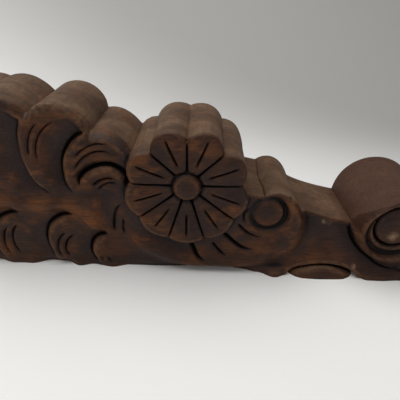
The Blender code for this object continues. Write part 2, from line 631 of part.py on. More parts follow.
def crease_lines(back, fine, step):
    """The lines that the faces have to follow: edges of the carved forms and the bottoms of the cuts."""
    lines = []
    for points in [e[0] for e in UPPER_EDGES + LOWER_EDGES]:
        line = curve(points, step)
        lines += [line, beside(line, WALL)]
    lines.append(curve(SCROLL_CREST, step))
    cuts = notch_angles()
    if fine:
        for points in VEINS + (HOOK_LINE,):
            line = curve(points, step)[1:-1] if len(curve(points, step)) > 4 else curve(points, step)
            lines += [line, beside(line, VEIN_WIDTH / 2)[1:-1], beside(line, -VEIN_WIDTH / 2)[1:-1]]
        for points, width in FINGER_CUTS:
            line = curve(points, step)
            lines += [line, beside(line, width / 2), beside(line, -width / 2)]
    turn = np.arange(flower_meets_leaf(back), 360.0 + RIM_RIGHT, degrees(step / FLOWER_RADIUS))
    rim = np.append(turn, [a % 360.0 for a in cuts])
    rim = np.unique(rim[(rim > turn[0] + 1) & (rim < turn[-1])])
    for off in (0.0, WALL):
        r = flower_radius(rim, back) + off
        lines.append(np.stack((r * np.cos(np.radians(rim)), FLOWER_Z + r * np.sin(np.radians(rim))), 1))
    for a in cuts:
        way = np.array((cos(radians(a)), sin(radians(a))))
        side = np.array((-way[1], way[0]))
        out = float(flower_radius(a, back)) - 1.5
        stops = np.linspace(BOSS_RADIUS + 2.0, out, 4)
        for off in ((0.0, DIVIDE_WIDTH / 2, -DIVIDE_WIDTH / 2) if fine else (0.0,)):
            lines.append(np.array([way * s + side * off + (0.0, FLOWER_Z) for s in stops]))
    for low, high in zip(cuts, cuts[1:] + [cuts[0] - 360.0]):
        middle = radians(0.5 * (low + high))
        start = MIDRIB_FROM + MIDRIB_LATE * float(smooth(-sin(middle)))
        way = np.array((cos(middle), sin(middle)))
        side = np.array((-way[1], way[0]))
        for off in ((0.0, MIDRIB_WIDTH / 2, -MIDRIB_WIDTH / 2) if fine else ()):
            stops = np.linspace(start, MIDRIB_TO, 5)
            lines.append(np.array([way * s + side * off + (0.0, FLOWER_Z) for s in stops]))
    for x, z, radius in (
        (0.0, FLOWER_Z, BOSS_RADIUS), (BALL_X, BALL_Z, BALL_RADIUS), (EYE_X, EYE_Z, EYE_RADIUS),
    ):
        lines.append(circle(x, z, radius, 0.0, 340.0, step))
        lines.append(circle(x, z, DOME_RING * radius, 0.0, 325.0, step))
    lip = BALL_GROOVE_RADIUS + 0.5 * BALL_GROOVE_WIDTH
    lines.append(circle(BALL_GROOVE_X, BALL_GROOVE_Z, lip, 200.0, 460.0, step))
    crest = circle(EYE_X, EYE_Z, 1.0, 130.0, 350.0, step / RING_RADIUS)
    around = ring_radius(np.linspace(40.0, 260.0, len(crest)))[:, None]
    lines.append((crest - (EYE_X, EYE_Z)) * around + (EYE_X, EYE_Z))
    spiral = circle(VOLUTE_X, VOLUTE_Z, 1.0, 178.0, 300.0, 0.1)
    limit = volute_limit(spiral[:, 0], spiral[:, 1])[2][:, None]
    for off in (0.0, WALL):
        lines.append((spiral - (VOLUTE_X, VOLUTE_Z)) * (limit + off) + (VOLUTE_X, VOLUTE_Z))
    middle = 0.5 * (ARCH_LEFT + ARCH_RIGHT)
    half = 0.5 * (ARCH_RIGHT - ARCH_LEFT)
    turn = np.radians(np.linspace(12.0, 168.0, 14))
    for inset in (0.0, 1.0):
        across, up = (half - inset) * np.cos(turn), (ARCH_HEIGHT - inset) * np.sin(turn)
        lines.append(np.stack((middle + across, up), 1))
    return lines


def inside(p, rim):
    """Which points lie inside a closed outline."""
    x, z = p[:, 0], p[:, 1]
    odd = np.zeros(len(p), bool)
    for (ax, az), (bx, bz) in zip(rim, np.roll(rim, -1, axis=0)):
        if az == bz:
            continue
        odd ^= ((az > z) != (bz > z)) & (x < ax + (bx - ax) * (z - az) / (bz - az))
    return odd


def face_points(back, fine, rim, grid, step):
    """Points and edges of one face: its outline, its creases, and an even fill between them."""
    closed = np.vstack((rim, rim[:1]))
    points = list(rim)
    edges = [(k, (k + 1) % len(rim)) for k in range(len(rim))]
    for line in crease_lines(back, fine, step):
        keep = inside(line, rim) & (to_curve(line, closed)[0] > 1.0)
        last = None
        for q, good in zip(line, keep):
            if good:
                points.append(q)
                if last is not None:
                    edges.append((last, len(points) - 1))
                last = len(points) - 1
            else:
                last = None
    taken = np.array(points)
    low, high = taken.min(axis=0), taken.max(axis=0)
    rows = np.arange(low[1] + grid / 2, high[1], grid * 0.866)
    fill = [(x + grid / 2 * (k % 2), z) for k, z in enumerate(rows) for x in np.arange(low[0], high[0], grid)]
    fill = np.array(fill)
    fill = fill[inside(fill, rim) & (to_curve(fill, closed)[0] > 0.5 * grid)]
    near = np.array([np.min(np.hypot(*(taken - q).T)) for q in fill])
    return np.vstack((taken, fill[near > 0.6 * grid])), edges


def carved_face(back, fine, rim, grid, step):
    """Triangulates one face and gives its points, depths, triangles, and where the outline's points went."""
    points, edges = face_points(back, fine, rim, grid, step)
    ring = list(range(len(rim)))
    made = delaunay_2d_cdt([Vector(q) for q in points], edges, [ring], 1, 1e-5)
    flat = np.array([tuple(v) for v in made[0]])
    place = {}
    for index, sources in enumerate(made[3]):
        for source in sources:
            if source < len(rim):
                place[source] = index
    return flat, face_depth(flat, back, fine), made[2], [place[k] for k in ring]


def corbel_mesh():
    """One closed skin: two carved faces and the band of sawn and rounded edge between them."""
    rims = [loop(False, STEP_ALONG), loop(True, STEP_ALONG)]
    front = carved_face(False, True, rims[0], GRID, FRONT_STEP)
    back = carved_face(True, False, rims[1], BACK_GRID, BACK_STEP)
    verts = [(x, d - THICKNESS / 2, z) for (x, z), d in zip(front[0], front[1])]
    shift = len(verts)
    verts += [(x, THICKNESS / 2 - BACK_SHARE * d, z) for (x, z), d in zip(back[0], back[1])]
    faces = [tuple(f) for f in front[2]]
    faces += [tuple(shift + k for k in reversed(f)) for f in back[2]]
    a = front[3]
    b = [shift + k for k in back[3]]
    for k in range(len(a)):
        n = (k + 1) % len(a)
        faces.append((a[n], a[k], b[k]))
        faces.append((a[n], b[k], b[n]))
    mesh = bpy.data.meshes.new("corbel")
    mesh.from_pydata([tuple(MM * c for c in v) for v in verts], [], faces)
    mesh.validate()
    mesh.update()
    return mesh


def wood():
    """Dark brown stained wood, satin where hands have worn it."""
    material = bpy.data.materials.new("stained_wood")
    material.use_nodes = True
    shader = material.node_tree.nodes["Principled BSDF"]
    shader.inputs["Base Color"].default_value = (0.060, 0.034, 0.022, 1.0)
    shader.inputs["Roughness"].default_value = 0.55
    shader.inputs["Metallic"].default_value = 0.0
    return material


def main():
    for thing in list(bpy.data.objects):
        bpy.data.objects.remove(thing)
    mesh = corbel_mesh()
    mesh.materials.append(wood())
    mesh.shade_smooth()
    mesh.set_sharp_from_angle(angle=radians(30.0))
    corbel = bpy.data.objects.new("corbel", mesh)
    bpy.context.scene.collection.objects.link(corbel)


main()
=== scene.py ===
"""Carved wooden corbel bracket on a pale floor: the fine carving and the wood's finish.

The carving is worked out by the same named sizes as the solid, in millimetres, and then cut finer.
x is measured from the flower's centre, z from the flat face, and depths from the foremost plane.
"""

from math import atan2, cos, degrees, hypot, radians, sin

import bpy
import numpy as np
from mathutils import Matrix, Vector, noise
from mathutils.geometry import delaunay_2d_cdt
from mathutils.kdtree import KDTree


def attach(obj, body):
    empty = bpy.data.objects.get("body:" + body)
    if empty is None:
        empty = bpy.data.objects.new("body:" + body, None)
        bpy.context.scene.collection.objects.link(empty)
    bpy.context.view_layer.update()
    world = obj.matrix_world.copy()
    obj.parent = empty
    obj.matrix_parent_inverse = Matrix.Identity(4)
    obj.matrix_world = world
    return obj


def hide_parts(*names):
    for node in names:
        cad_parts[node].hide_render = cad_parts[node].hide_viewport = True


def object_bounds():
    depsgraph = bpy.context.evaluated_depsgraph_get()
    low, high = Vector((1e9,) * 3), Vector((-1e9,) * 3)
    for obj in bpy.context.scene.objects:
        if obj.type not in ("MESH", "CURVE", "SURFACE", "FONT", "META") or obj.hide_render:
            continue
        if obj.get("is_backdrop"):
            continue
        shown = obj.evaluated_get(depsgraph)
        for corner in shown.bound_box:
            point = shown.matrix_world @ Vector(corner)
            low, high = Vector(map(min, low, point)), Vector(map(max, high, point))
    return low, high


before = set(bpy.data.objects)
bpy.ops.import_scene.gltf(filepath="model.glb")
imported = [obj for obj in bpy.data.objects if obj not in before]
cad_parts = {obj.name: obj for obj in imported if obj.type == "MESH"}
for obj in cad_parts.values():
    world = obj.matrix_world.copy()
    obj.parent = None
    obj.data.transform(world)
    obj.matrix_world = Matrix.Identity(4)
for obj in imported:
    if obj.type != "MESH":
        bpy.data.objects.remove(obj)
cad_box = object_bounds()
MM = 0.001

# The block, as everything below in millimetres unless it says otherwise
THICKNESS = 89.0
LEFT_END = -186.5
FOOT_END = 186.5

# The flower: nine petals round a boss, slightly wider below than above
FLOWER_Z = 83.5
FLOWER_RADIUS = 49.0
FLOWER_DROP = 0.7
FLOWER_DEPTH = 0.4
PETALS = 9
PETAL_SKEW = 5.5
NOTCH_RADIUS = 43.3
NOTCH_DROP = 4.8
BACK_RADIUS = 45.7
BACK_LEAN = 1.0
BACK_WIDEN = 5.0
BACK_NOTCH = 4.0
BACK_SPREAD = 2.5
PETAL_BULGE = 0.85
BOSS_RADIUS = 11.5
BOSS_RING = 2.8
BOSS_CUT = 1.8
PETAL_DISH = 4.0
PETAL_CROWN = 1.7
PETAL_ROUND = 1.6
DIVIDE_WIDTH = 2.0
DIVIDE_DEPTH = 2.2
MIDRIB_WIDTH = 2.3
MIDRIB_DEPTH = 2.4
MIDRIB_FROM = 18.0
MIDRIB_LATE = 4.5
MIDRIB_TO = 44.5

# The end volute
VOLUTE_X = 180.0
VOLUTE_Z = 40.0
VOLUTE_RADIUS = 39.3
EYE_X = 171.5
EYE_Z = 52.0
EYE_RADIUS = 18.0
EYE_RISE = 4.5
EYE_GROOVE = 7.5
EYE_CUT_WIDTH = 3.0
EYE_CUT_DEPTH = 2.4
EYE_VALLEY = ((0.0, 7.5), (0.25, 4.8), (0.62, 7.6), (1.0, 1.0))
RING_RADIUS = 31.0
RIM_LAND = 2.5
VOLUTE_FROM = 120.0
RING_START = 22.0
RING_DEPTH = 1.0
RIM_GROOVE_WIDTH = 2.4
RIM_GROOVE_DEPTH = 1.2
# Where round the volute its rim joins the ground, and where the groove beside it runs: each from an
# angle, eased in over some degrees, to another, eased out
RIM_JOIN = (166.0, 10.0, 285.0, 15.0)
GROOVE_RUN = (168.0, 12.0, 275.0, 25.0)
# Depth of the volute's rim at angles in degrees round it, and how far its ring reaches from its centre
RIM_DEPTHS = (
    (0, 3), (90, 1), (122, 0.4), (130, 3), (139, 5.5), (149, 11.2), (160, 18.2),
    (170, 21.5), (200, 14), (270, 3.5), (330, 2.6), (360, 3),
)
RING_REACH = (
    (0, 39.3), (172, 39.3), (177, 41.5), (189, 39), (206, 35), (222, 31.5), (270, 30.5),
    (300, 31.5), (340, 39.3), (360, 39.3),
)

# The small volute that ends the C scroll
BALL_X = 64.3
BALL_Z = 61.2
BALL_RADIUS = 12.0
BALL_RISE = 6.0
BALL_GROOVE_X = 66.3
BALL_GROOVE_Z = 59.7
BALL_GROOVE_RADIUS = 14.2
BALL_GROOVE_WIDTH = 5.2
BALL_GROOVE_DEPTH = 11.5

# The breadth of a steep side seen from the front
WALL = 1.2

# Depths of the carved levels
LEAF_DEPTH = 12.0
BAND_RAISE = 2.6
UPPER_BAND = 15.0
CURL_BAND = 7.0
LOWER_BAND = 10.0
STEM_DEPTH = 9.0
STEM_EDGE = 7.0
LEAF_HOLLOW = 18.0
LOWER_HOLLOW = 15.5
NECK_DEPTH = 15.0
NECK_REACH = 14.0
GROUND_DEPTH = 10.5
SCROLL_DEPTH = 4.5
VEIN_WIDTH = 2.4
VEIN_DEPTH = 2.2
UNDERCUT_WIDTH = 2.6
UNDERCUT_DEPTH = 2.0
TOP_ROUND = 8.0
TOP_KEEP = 5.0
SADDLE_CURVE = 1.5
SADDLE_FROM = 76.0
SADDLE_TO = 108.0

# Lobes of the top outline: centre x and z, half width and height of each arc
LOBES = {
    "end": (-169.0, 80.0, 44.0, 70.0),
    "leaf_a": (-147.0, 77.5, 45.0, 72.0),
    "leaf_b": (-99.4, 120.5, 25.2, 24.4),
    "leaf_c": (-69.3, 48.9, 40.6, 73.6),
    "bump": (73.0, 34.3, 25.8, 44.2),
}
RIM_RIGHT = -7.5
LEDGE_BEND = (55.0, 76.2)
CRACK_X = 62.2
SADDLE = ((94.5, 58.8), (111.0, 50.8), (141.2, 45.3))

# Edges of the leaf lobes from root to tip, the hollow on the left of each, its width at both ends
UPPER_EDGES = (
    (((-150.5, 72), (-170, 90), (-178, 108), (-179, 128), (-171, 148)), 4, 14),
    (((-106.5, 69), (-121, 82), (-127.3, 102), (-127, 121), (-120.5, 138)), 7, 48),
    (((-89, 69.5), (-96, 82), (-95.5, 101), (-87, 115.5), (-74, 124)), 8, 30),
    (((-84.5, 76), (-83, 86), (-73, 93.5), (-60, 95.5), (-49.5, 88), (-51, 78.5)), 8, 7),
)
LOWER_EDGES = (
    (((-155, -2), (-162, 12), (-167, 26), (-162, 40), (-151, 49), (-136, 52)),
     20, 12),
    (((-110.5, -2), (-115.8, 12), (-118.7, 26), (-115.5, 40), (-105, 49), (-91.5, 51)),
     27, 10),
    (((-73.5, -3), (-78.5, 7), (-81.7, 16), (-79, 26), (-73, 31), (-64.5, 32)), 20, 8),
)
HOOK_LINE = ((-60, 33), (-61.7, 42), (-59.8, 54), (-55.5, 61), (-51.5, 60.5), (-52, 56.5))
STEM_LOW = ((-190, 53), (-136, 52), (-91.5, 51), (-80, 36), (-64.5, 32))
STEM_HIGH = ((-190, 73), (-150, 70), (-106, 68.5), (-89, 69.5), (-72.5, 75))
STEM_REACH = -62.0
NECK = ((-61, 77), (-65, 66), (-65.5, 54), (-63, 43), (-60.5, 34))

VEINS = (
    ((-160.5, 100), (-168, 112), (-168.5, 126), (-162, 139)),
    ((-155, 104), (-161, 114), (-161, 126), (-154, 137)),
    ((-120.5, 101.5), (-120, 114), (-115.5, 125), (-108, 132.5)),
    ((-114, 97), (-115.3, 108), (-111.5, 120), (-103.5, 128.5), (-94, 132.5)),
    ((-88, 101.5), (-80.5, 109.5), (-69.5, 114.2), (-55.5, 113)),
    ((-88.8, 90.5), (-83.5, 100), (-74.5, 106.8), (-64, 108.3), (-53, 106)),
    ((-76.5, 77.5), (-70, 83.5), (-62, 86), (-54, 85)),
    ((-72.5, 74), (-67, 79.8), (-60, 82), (-53, 81)),
    ((-151, 9), (-156, 17), (-156.5, 28), (-153, 36.5), (-146, 41.5)),
    ((-143, 8.5), (-148.5, 17), (-149.5, 28), (-146, 37), (-138, 44.5)),
    ((-107, 8), (-110.8, 16), (-110.3, 24), (-107, 30.5), (-100, 35)),
    ((-101, 6.5), (-104.8, 14.5), (-104.3, 22), (-100, 29), (-92, 33.5)),
    ((-72.3, 5.5), (-74, 9), (-73.5, 12.5)),
    ((-63.5, 2.5), (-67.5, 6.5), (-69.5, 11)),
    ((-52.3, 33.5), (-53.8, 41), (-52.2, 51)),
)

# The C scroll: its crest, then the cuts between the fingers that fill it, with their widths
SCROLL_CREST = (
    (-54, 28), (-36, 26.5), (-19, 18.6), (-5, 13), (12, 8.9), (31.8, 8.6), (46.4, 10.8),
    (57.2, 14.9), (67.5, 20.8), (77.6, 28.6), (85.3, 38), (89.3, 49), (89.3, 59), (85, 69),
)
SCROLL_INSIDE = 15.0
SCROLL_OUTSIDE = 13.0
SCROLL_SPREAD = 7.0
SCROLL_FLOOR = 7.6
SCROLL_FADE = 0.2
SCROLL_TIP = 0.4
FINGER_CUTS = (
    (((52, 64.5), (47.3, 60), (46.8, 53), (53, 46.2)), 2.2),
    (((41.6, 50.5), (43.6, 48), (48.5, 42.6), (56.8, 37.8), (69.9, 35.6)), 2.6),
    (((30.5, 41.5), (33.2, 37.9), (40.9, 30.3), (49.9, 24.8), (63.8, 24.4)), 5),
    (((21.3, 31.5), (22.8, 28.8), (26.7, 23.6), (31.3, 19.2), (38.5, 15.6)), 3),
    (((3.2, 30), (5.5, 24.7), (8.6, 17.6), (13.1, 13.2), (22.1, 9.6)), 5.2),
)
FINGER_STEEP = 0.8
FINGER_ROUND = 6.0
FINGER_SINK = 1.3

# The arch under the saddle and the pellet in it
ARCH_LEFT = 86.5
ARCH_RIGHT = 149.0
ARCH_HEIGHT = 12.0
ARCH_CUT = 15.0
ARCH_GROOVE = 2.2
PELLET_EDGE = 7.0
PELLET_DEPTH = 0.3
LEG_ROUND = 4.0
LEG_WIDTH = 8.5
LEG_HEIGHT = 9.0

# Depth of the block's front edge along the foot, and along the top
FOOT_DEPTHS = (
    (-186, 18.5), (-170, 17.5), (-153, 12.5), (-137, 12.5), (-120, 18), (-108, 17),
    (-94, 10.4), (-83, 13.5), (-65, 10), (-51, 13.8), (-20, 13.5), (12, 15.5), (33, 16.5),
    (48, 12.5), (62, 8), (77, 1.2), (157, 0.2), (166, 0), (186, 1),
)
FOOT_RISE = 9.0
ARRIS_DEPTHS = (
    (-186, 17), (-160, 16), (-130, 14), (-122, 18), (-108, 14), (-84, 14.5),
    (-75, 21), (-50, 22), (56, 26), (66, 13), (74, 8), (84, 10), (97, 21),
    (145, 21),
)

# How far out from a dome's middle a ring of corners is set, as a share of its radius
DOME_RING = 0.65

# The rear face: its levels, its edge along the top, and all its depths against the front's
BACK_LEVEL = 0.65
BACK_ARRIS = 0.35
BACK_SHARE = 0.35

# How finely the outline and the carved lines are followed, and how often a search is halved
STEP_ALONG = 4.2
LINE_STEP = 3.0
HALVINGS = 40


def smooth(value):
    """0 below 0, 1 above 1, and an S curve between."""
    t = np.clip(value, 0.0, 1.0)
    return t * t * (3.0 - 2.0 * t)


def falling(value):
    """1 at 0 and straight down to 0 at 1, held on both sides."""
    return np.clip(1.0 - value, 0.0, 1.0)


def between(value, low, rise, high, fall):
    """0 outside low and high, easing up to 1 within rise of low and within fall of high."""
    return smooth((value - low) / rise) * smooth((high - value) / fall)


def eased(x, knots):
    """A value along the block that eases from each knot to the next."""
    at, value = (np.array(column) for column in zip(*knots))
    k = np.clip(np.searchsorted(at, x) - 1, 0, len(at) - 2)
    return value[k] + (value[k + 1] - value[k]) * smooth((x - at[k]) / (at[k + 1] - at[k]))


def curve(points, step):
    """Points about a step apart on the smooth curve through a few chosen ones."""
    p = np.array(points, float)
    ends = np.vstack((2 * p[0] - p[1], p, 2 * p[-1] - p[-2]))
    out = []
    for a, b, c, d in zip(ends, ends[1:], ends[2:], ends[3:]):
        count = max(1, round(float(np.linalg.norm(c - b)) / step))
        for t in np.arange(count) / count:
            out.append(
                0.5 * (2 * b + (c - a) * t + (2 * a - 5 * b + 4 * c - d) * t**2
                       + (3 * b - a - 3 * c + d) * t**3)
            )
    out.append(p[-1])
    return np.array(out)


def to_curve(points, line, reach=np.inf):
    """Distance from each point to a line, its share of the way along, and the side: left is positive.

    Points well out of reach of the line count as infinitely far from it.
    """
    low, high = line.min(axis=0) - reach, line.max(axis=0) + reach
    close = np.all((points >= low) & (points <= high), axis=1)
    p = points[close]
    best = np.full(len(p), np.inf)
    share = np.zeros(len(p))
    side = np.zeros(len(p))
    runs = np.linalg.norm(np.diff(line, axis=0), axis=1)
    total = runs.sum()
    gone = 0.0
    for a, b, run in zip(line, line[1:], runs):
        u = (b - a) / run
        v = p - a
        t = np.clip(v @ u, 0.0, run)
        off = v - t[:, None] * u
        dist = np.hypot(off[:, 0], off[:, 1])
        near = dist < best
        best = np.where(near, dist, best)
        share = np.where(near, (gone + t) / total, share)
        side = np.where(near, u[0] * v[:, 1] - u[1] * v[:, 0], side)
        gone += run
    out = np.full(len(points), np.inf), np.zeros(len(points)), np.ones(len(points))
    for whole, found in zip(out, (best, share, np.where(side >= 0, 1.0, -1.0))):
        whole[close] = found
    return out


def taper(share, start=0.22, end=0.22):
    """1 along the middle of a stroke, falling to 0 at each end."""
    return smooth(share / start) * smooth((1.0 - share) / end)


def v_cut(depth, p, line, width, deep, start=0.3, end=0.3):
    """Cuts a V with rounded shoulders along a line, its ends drawn out to a point."""
    dist, share, _ = to_curve(p, line, width)
    return depth + deep * taper(share, start, end) * falling(dist / width) ** 2


def hollow_beside(depth, p, line, floor, width_start, width_end, kept):
    """Sinks the left side of a line to a floor that rises to a crest one width away, where kept allows."""
    dist, share, side = to_curve(p, line, max(width_start, width_end))
    width = width_start + (width_end - width_start) * share
    bowl = 1.0 - smooth(dist / width)
    weight = np.where(side > 0, smooth(dist / WALL) * bowl * kept, 0.0) * taper(share, 0.25, 0.15)
    return depth + (np.maximum(floor, depth) - depth) * weight


def band_beside(depth, p, line, width, start=0.2, end=0.2):
    """Raises the right side of a line into a band, rounded over at the line."""
    dist, share, side = to_curve(p, line, 1.5 * width)
    crown = smooth(dist / 3.0) * smooth((1.5 * width - dist) / width)
    return depth - np.where(side < 0, BAND_RAISE * crown, 0.0) * taper(share, start, end)


def lobe_top(name, x):
    """Height of one lobe's arc at x, far down outside it."""
    cx, cz, half, rise = LOBES[name]
    inside = 1.0 - ((np.asarray(x, float) - cx) / half) ** 2
    return np.where(inside > 0, cz + rise * np.sqrt(np.maximum(inside, 0.0)), -1.0)


def turning_point(low, high, holds):
    """Where a test that holds at low stops holding on the way to high."""
    for _ in range(HALVINGS):
        middle = 0.5 * (low + high)
        if holds(middle):
            low = middle
        else:
            high = middle
    return 0.5 * (low + high)


def meeting(first, second, low, high):
    """The x at which one lobe's arc takes over from the next."""
    return turning_point(low, high, lambda x: lobe_top(first, x) > lobe_top(second, x))


def notch_angles():
    """Angles of the cuts between petals, from the one straight up and clockwise."""
    turn = 360.0 / PETALS
    return [90.0 - turn * k - PETAL_SKEW * sin(radians(turn * k)) for k in range(PETALS)]


def petal_place(angle):
    """For angles in degrees: 0 to 1 across the petal, and the angle at its middle."""
    cuts = np.array(notch_angles() + [90.0 - 360.0])
    a = np.asarray(angle, float)
    a = 90.0 - np.mod(90.0 - a, 360.0)
    index = np.clip(np.searchsorted(-cuts, -a, side="right") - 1, 0, PETALS - 1)
    left, right = cuts[index], cuts[index + 1]
    return (left - a) / (left - right), 0.5 * (left + right)


def flower_radius(angle, back=False):
    """Radius of the flower's scalloped rim at an angle."""
    across, _ = petal_place(angle)
    bulge = np.sin(np.pi * np.clip(across, 0.0, 1.0)) ** PETAL_BULGE
    rad = np.radians(angle)
    if back:
        tip = BACK_RADIUS + BACK_WIDEN * np.abs(np.cos(rad)) ** 3 - BACK_LEAN * np.cos(rad)
        notch = (BACK_NOTCH + BACK_SPREAD * np.abs(np.cos(rad))) * (1.0 - np.cos(rad) ** 6)
        return tip - notch * (1.0 - bulge)
    tip = FLOWER_RADIUS - FLOWER_DROP * np.sin(rad)
    notch = NOTCH_RADIUS - NOTCH_DROP * np.sin(rad)
    return notch + (tip - notch) * bulge


def flower_point(angle, back=False):
    r = float(flower_radius(angle, back))
    return r * cos(radians(angle)), FLOWER_Z + r * sin(radians(angle))


def flower_meets_leaf(back):
    """The angle at which the rim dips under the third leaf lobe's outline."""

    def clear(angle):
        x, z = flower_point(angle, back)
        return z > lobe_top("leaf_c", x)

    return turning_point(140.0, 172.0, clear)


def bend(start, middle, end, count):
    """Points on one quadratic curve, its start left out."""
    a, b, c = (np.array(q, float) for q in (start, middle, end))
    turn = np.arange(1, count + 1) / count
    return [tuple((1 - t) ** 2 * a + 2 * t * (1 - t) * b + t * t * c) for t in turn]


def pieces(length, step):
    return max(2, round(length / step))


def volute_arc(step):
    """The end volute's rim from the foot round to the saddle, drawn in to meet the foot."""
    start = degrees(atan2(-VOLUTE_Z, FOOT_END - VOLUTE_X))
    end = degrees(atan2(SADDLE[2][1] - VOLUTE_Z, SADDLE[2][0] - VOLUTE_X))
    foot = hypot(VOLUTE_Z, FOOT_END - VOLUTE_X)
    count = pieces(VOLUTE_RADIUS * radians(end - start), step)
    out = []
    for k in range(count + 1):
        a = start + (end - start) * k / count
        r = VOLUTE_RADIUS + (foot - VOLUTE_RADIUS) * float(1.0 - smooth((a - start) / 40.0))
        out.append((VOLUTE_X + r * cos(radians(a)), VOLUTE_Z + r * sin(radians(a))))
    return out[:-1] + [SADDLE[2]]


def lobe_arc(name, high, low, step, span=None):
    """Points along a lobe's arc from its right end to its left one, the first left out."""
    count = pieces(span or high - low, step)
    turn = np.arange(1, count + 1) / count
    return [(x, float(lobe_top(name, x))) for x in high + (low - high) * turn]


def outline(back, step):
    """The block's outline from the foot's right end over the top to the left end."""
    out = volute_arc(step)
    out += bend(SADDLE[2], SADDLE[1], SADDLE[0], pieces(SADDLE[2][0] - SADDLE[0][0], step))
    out += lobe_arc("bump", SADDLE[0][0], CRACK_X, step)
    rim = flower_point(RIM_RIGHT, back)
    ledge = bend(out[-1], LEDGE_BEND, rim, pieces(CRACK_X - FLOWER_RADIUS, step))
    near = (rim[0] + WALL, ledge[-2][1] + (rim[1] - ledge[-2][1]) * 0.8)
    out += ledge[:-1] + [near, rim]
    cuts = notch_angles()
    meet = flower_meets_leaf(back)
    stops = [RIM_RIGHT, cuts[2], cuts[1], cuts[0], cuts[-1] + 360.0, meet]
    fixed = [RIM_RIGHT, cuts[2], cuts[1], cuts[0], cuts[-1] + 360.0, flower_meets_leaf(False)]
    for a, b, first, last in zip(stops, stops[1:], fixed, fixed[1:]):
        per = pieces(FLOWER_RADIUS * radians(last - first), step) if abs(last - first) > 30 else 3
        out += [flower_point(a + (b - a) * k / per, back) for k in range(1, per + 1)]
    joins = [out[-1][0] - WALL, meeting("leaf_b", "leaf_c", -90.0, -60.0)]
    joins += [meeting("leaf_a", "leaf_b", -149.0, -100.0), meeting("end", "leaf_a", -172.0, -149.0), LEFT_END]
    out.append((joins[0], float(lobe_top("leaf_c", joins[0]))))
    for name, high, low in zip(("leaf_c", "leaf_b", "leaf_a", "end"), joins, joins[1:]):
        out += lobe_arc(name, high, low, step, LOBES["leaf_c"][2] * 0.8 if name == "leaf_c" else None)
    return out


def loop(back, step):
    """The whole closed outline: underside, the carved run, and the square left end."""
    rim = outline(back, step)
    count = pieces(FOOT_END - LEFT_END, step)
    under = [(LEFT_END + (FOOT_END - LEFT_END) * k / count, 0.0) for k in range(count)]
    rise = rim[-1][1]
    count = pieces(rise, 2 * step)
    end = [(LEFT_END, rise * (1.0 - k / count)) for k in range(1, count)]
    return np.array(under + rim + end)


def top_height(x, back):
    """Height of the outline above any x between the left end and the volute's top."""
    rim = np.array(outline(back, STEP_ALONG))
    rim = rim[rim[:, 0] <= VOLUTE_X]
    order = np.argsort(rim[:, 0])
    return np.interp(x, rim[order, 0], rim[order, 1])


def base_depth(p, top, back):
    """The block's face before carving: flat in the middle, hollowed under the saddle, eased at the top."""
    x, z = p[:, 0], p[:, 1]
    d = LEAF_DEPTH + (GROUND_DEPTH - LEAF_DEPTH) * smooth((x + 50.0) / 20.0)
    foot, arris = eased(x, FOOT_DEPTHS), eased(x, ARRIS_DEPTHS)
    if back:
        d, arris = BACK_LEVEL * d, BACK_ARRIS * arris
    crown = np.minimum(top, np.interp(x, *zip(*SADDLE)))
    saddle = foot + (arris - foot) * (1.0 - falling(z / crown) ** SADDLE_CURVE)
    d = d + (saddle - d) * smooth((x - SADDLE_FROM) / (SADDLE_TO - SADDLE_FROM))
    ease = falling((top - z) / TOP_ROUND) ** 2
    return d + (np.maximum(d, arris) - d) * ease


def carve_foot(d, p):
    """Draws the face back or out to the foot's front edge, and rounds the legs beside the arch."""
    x, z = p[:, 0], p[:, 1]
    d = d + (eased(x, FOOT_DEPTHS) - d) * (1.0 - smooth(z / FOOT_RISE))
    legs = smooth((x - ARCH_LEFT + LEG_WIDTH) / LEG_WIDTH) * smooth((ARCH_RIGHT + LEG_WIDTH - x) / LEG_WIDTH)
    return d + LEG_ROUND * legs * falling(z / LEG_HEIGHT) ** 2


def carve_leaf(d, p, top):
    """The stem, the lobes that lap over each other on both sides of it, and their veins."""
    x, z = p[:, 0], p[:, 1]
    low = np.interp(x, *zip(*STEM_LOW))
    high = np.interp(x, *zip(*STEM_HIGH))
    stem = between(z, low, STEM_EDGE, high, STEM_EDGE)
    stem = stem * smooth((STEM_REACH - x) / STEM_EDGE)
    d = d + (STEM_DEPTH - d) * stem
    dist, share, _ = to_curve(p, curve(NECK, LINE_STEP), NECK_REACH)
    d = d + (NECK_DEPTH - d) * smooth(1.0 - dist / NECK_REACH) * taper(share, 0.15, 0.25)
    kept = smooth((top - z - TOP_KEEP) / TOP_ROUND)
    bands = [UPPER_BAND] * (len(UPPER_EDGES) - 1) + [CURL_BAND]
    edges = [(e, a, b, LEAF_HOLLOW, band) for (e, a, b), band in zip(UPPER_EDGES, bands)]
    edges += [(e, a, b, LOWER_HOLLOW, LOWER_BAND) for e, a, b in LOWER_EDGES]
    for points, first, last, floor, band in edges:
        line = curve(points, LINE_STEP)
        d = band_beside(d, p, line, band)
        d = hollow_beside(d, p, line, floor, first, last, kept)
        d = v_cut(d, p, beside(line, WALL), UNDERCUT_WIDTH, UNDERCUT_DEPTH)
    for points in VEINS + (HOOK_LINE,):
        d = v_cut(d, p, curve(points, LINE_STEP), VEIN_WIDTH, VEIN_DEPTH, 0.2)
    return d


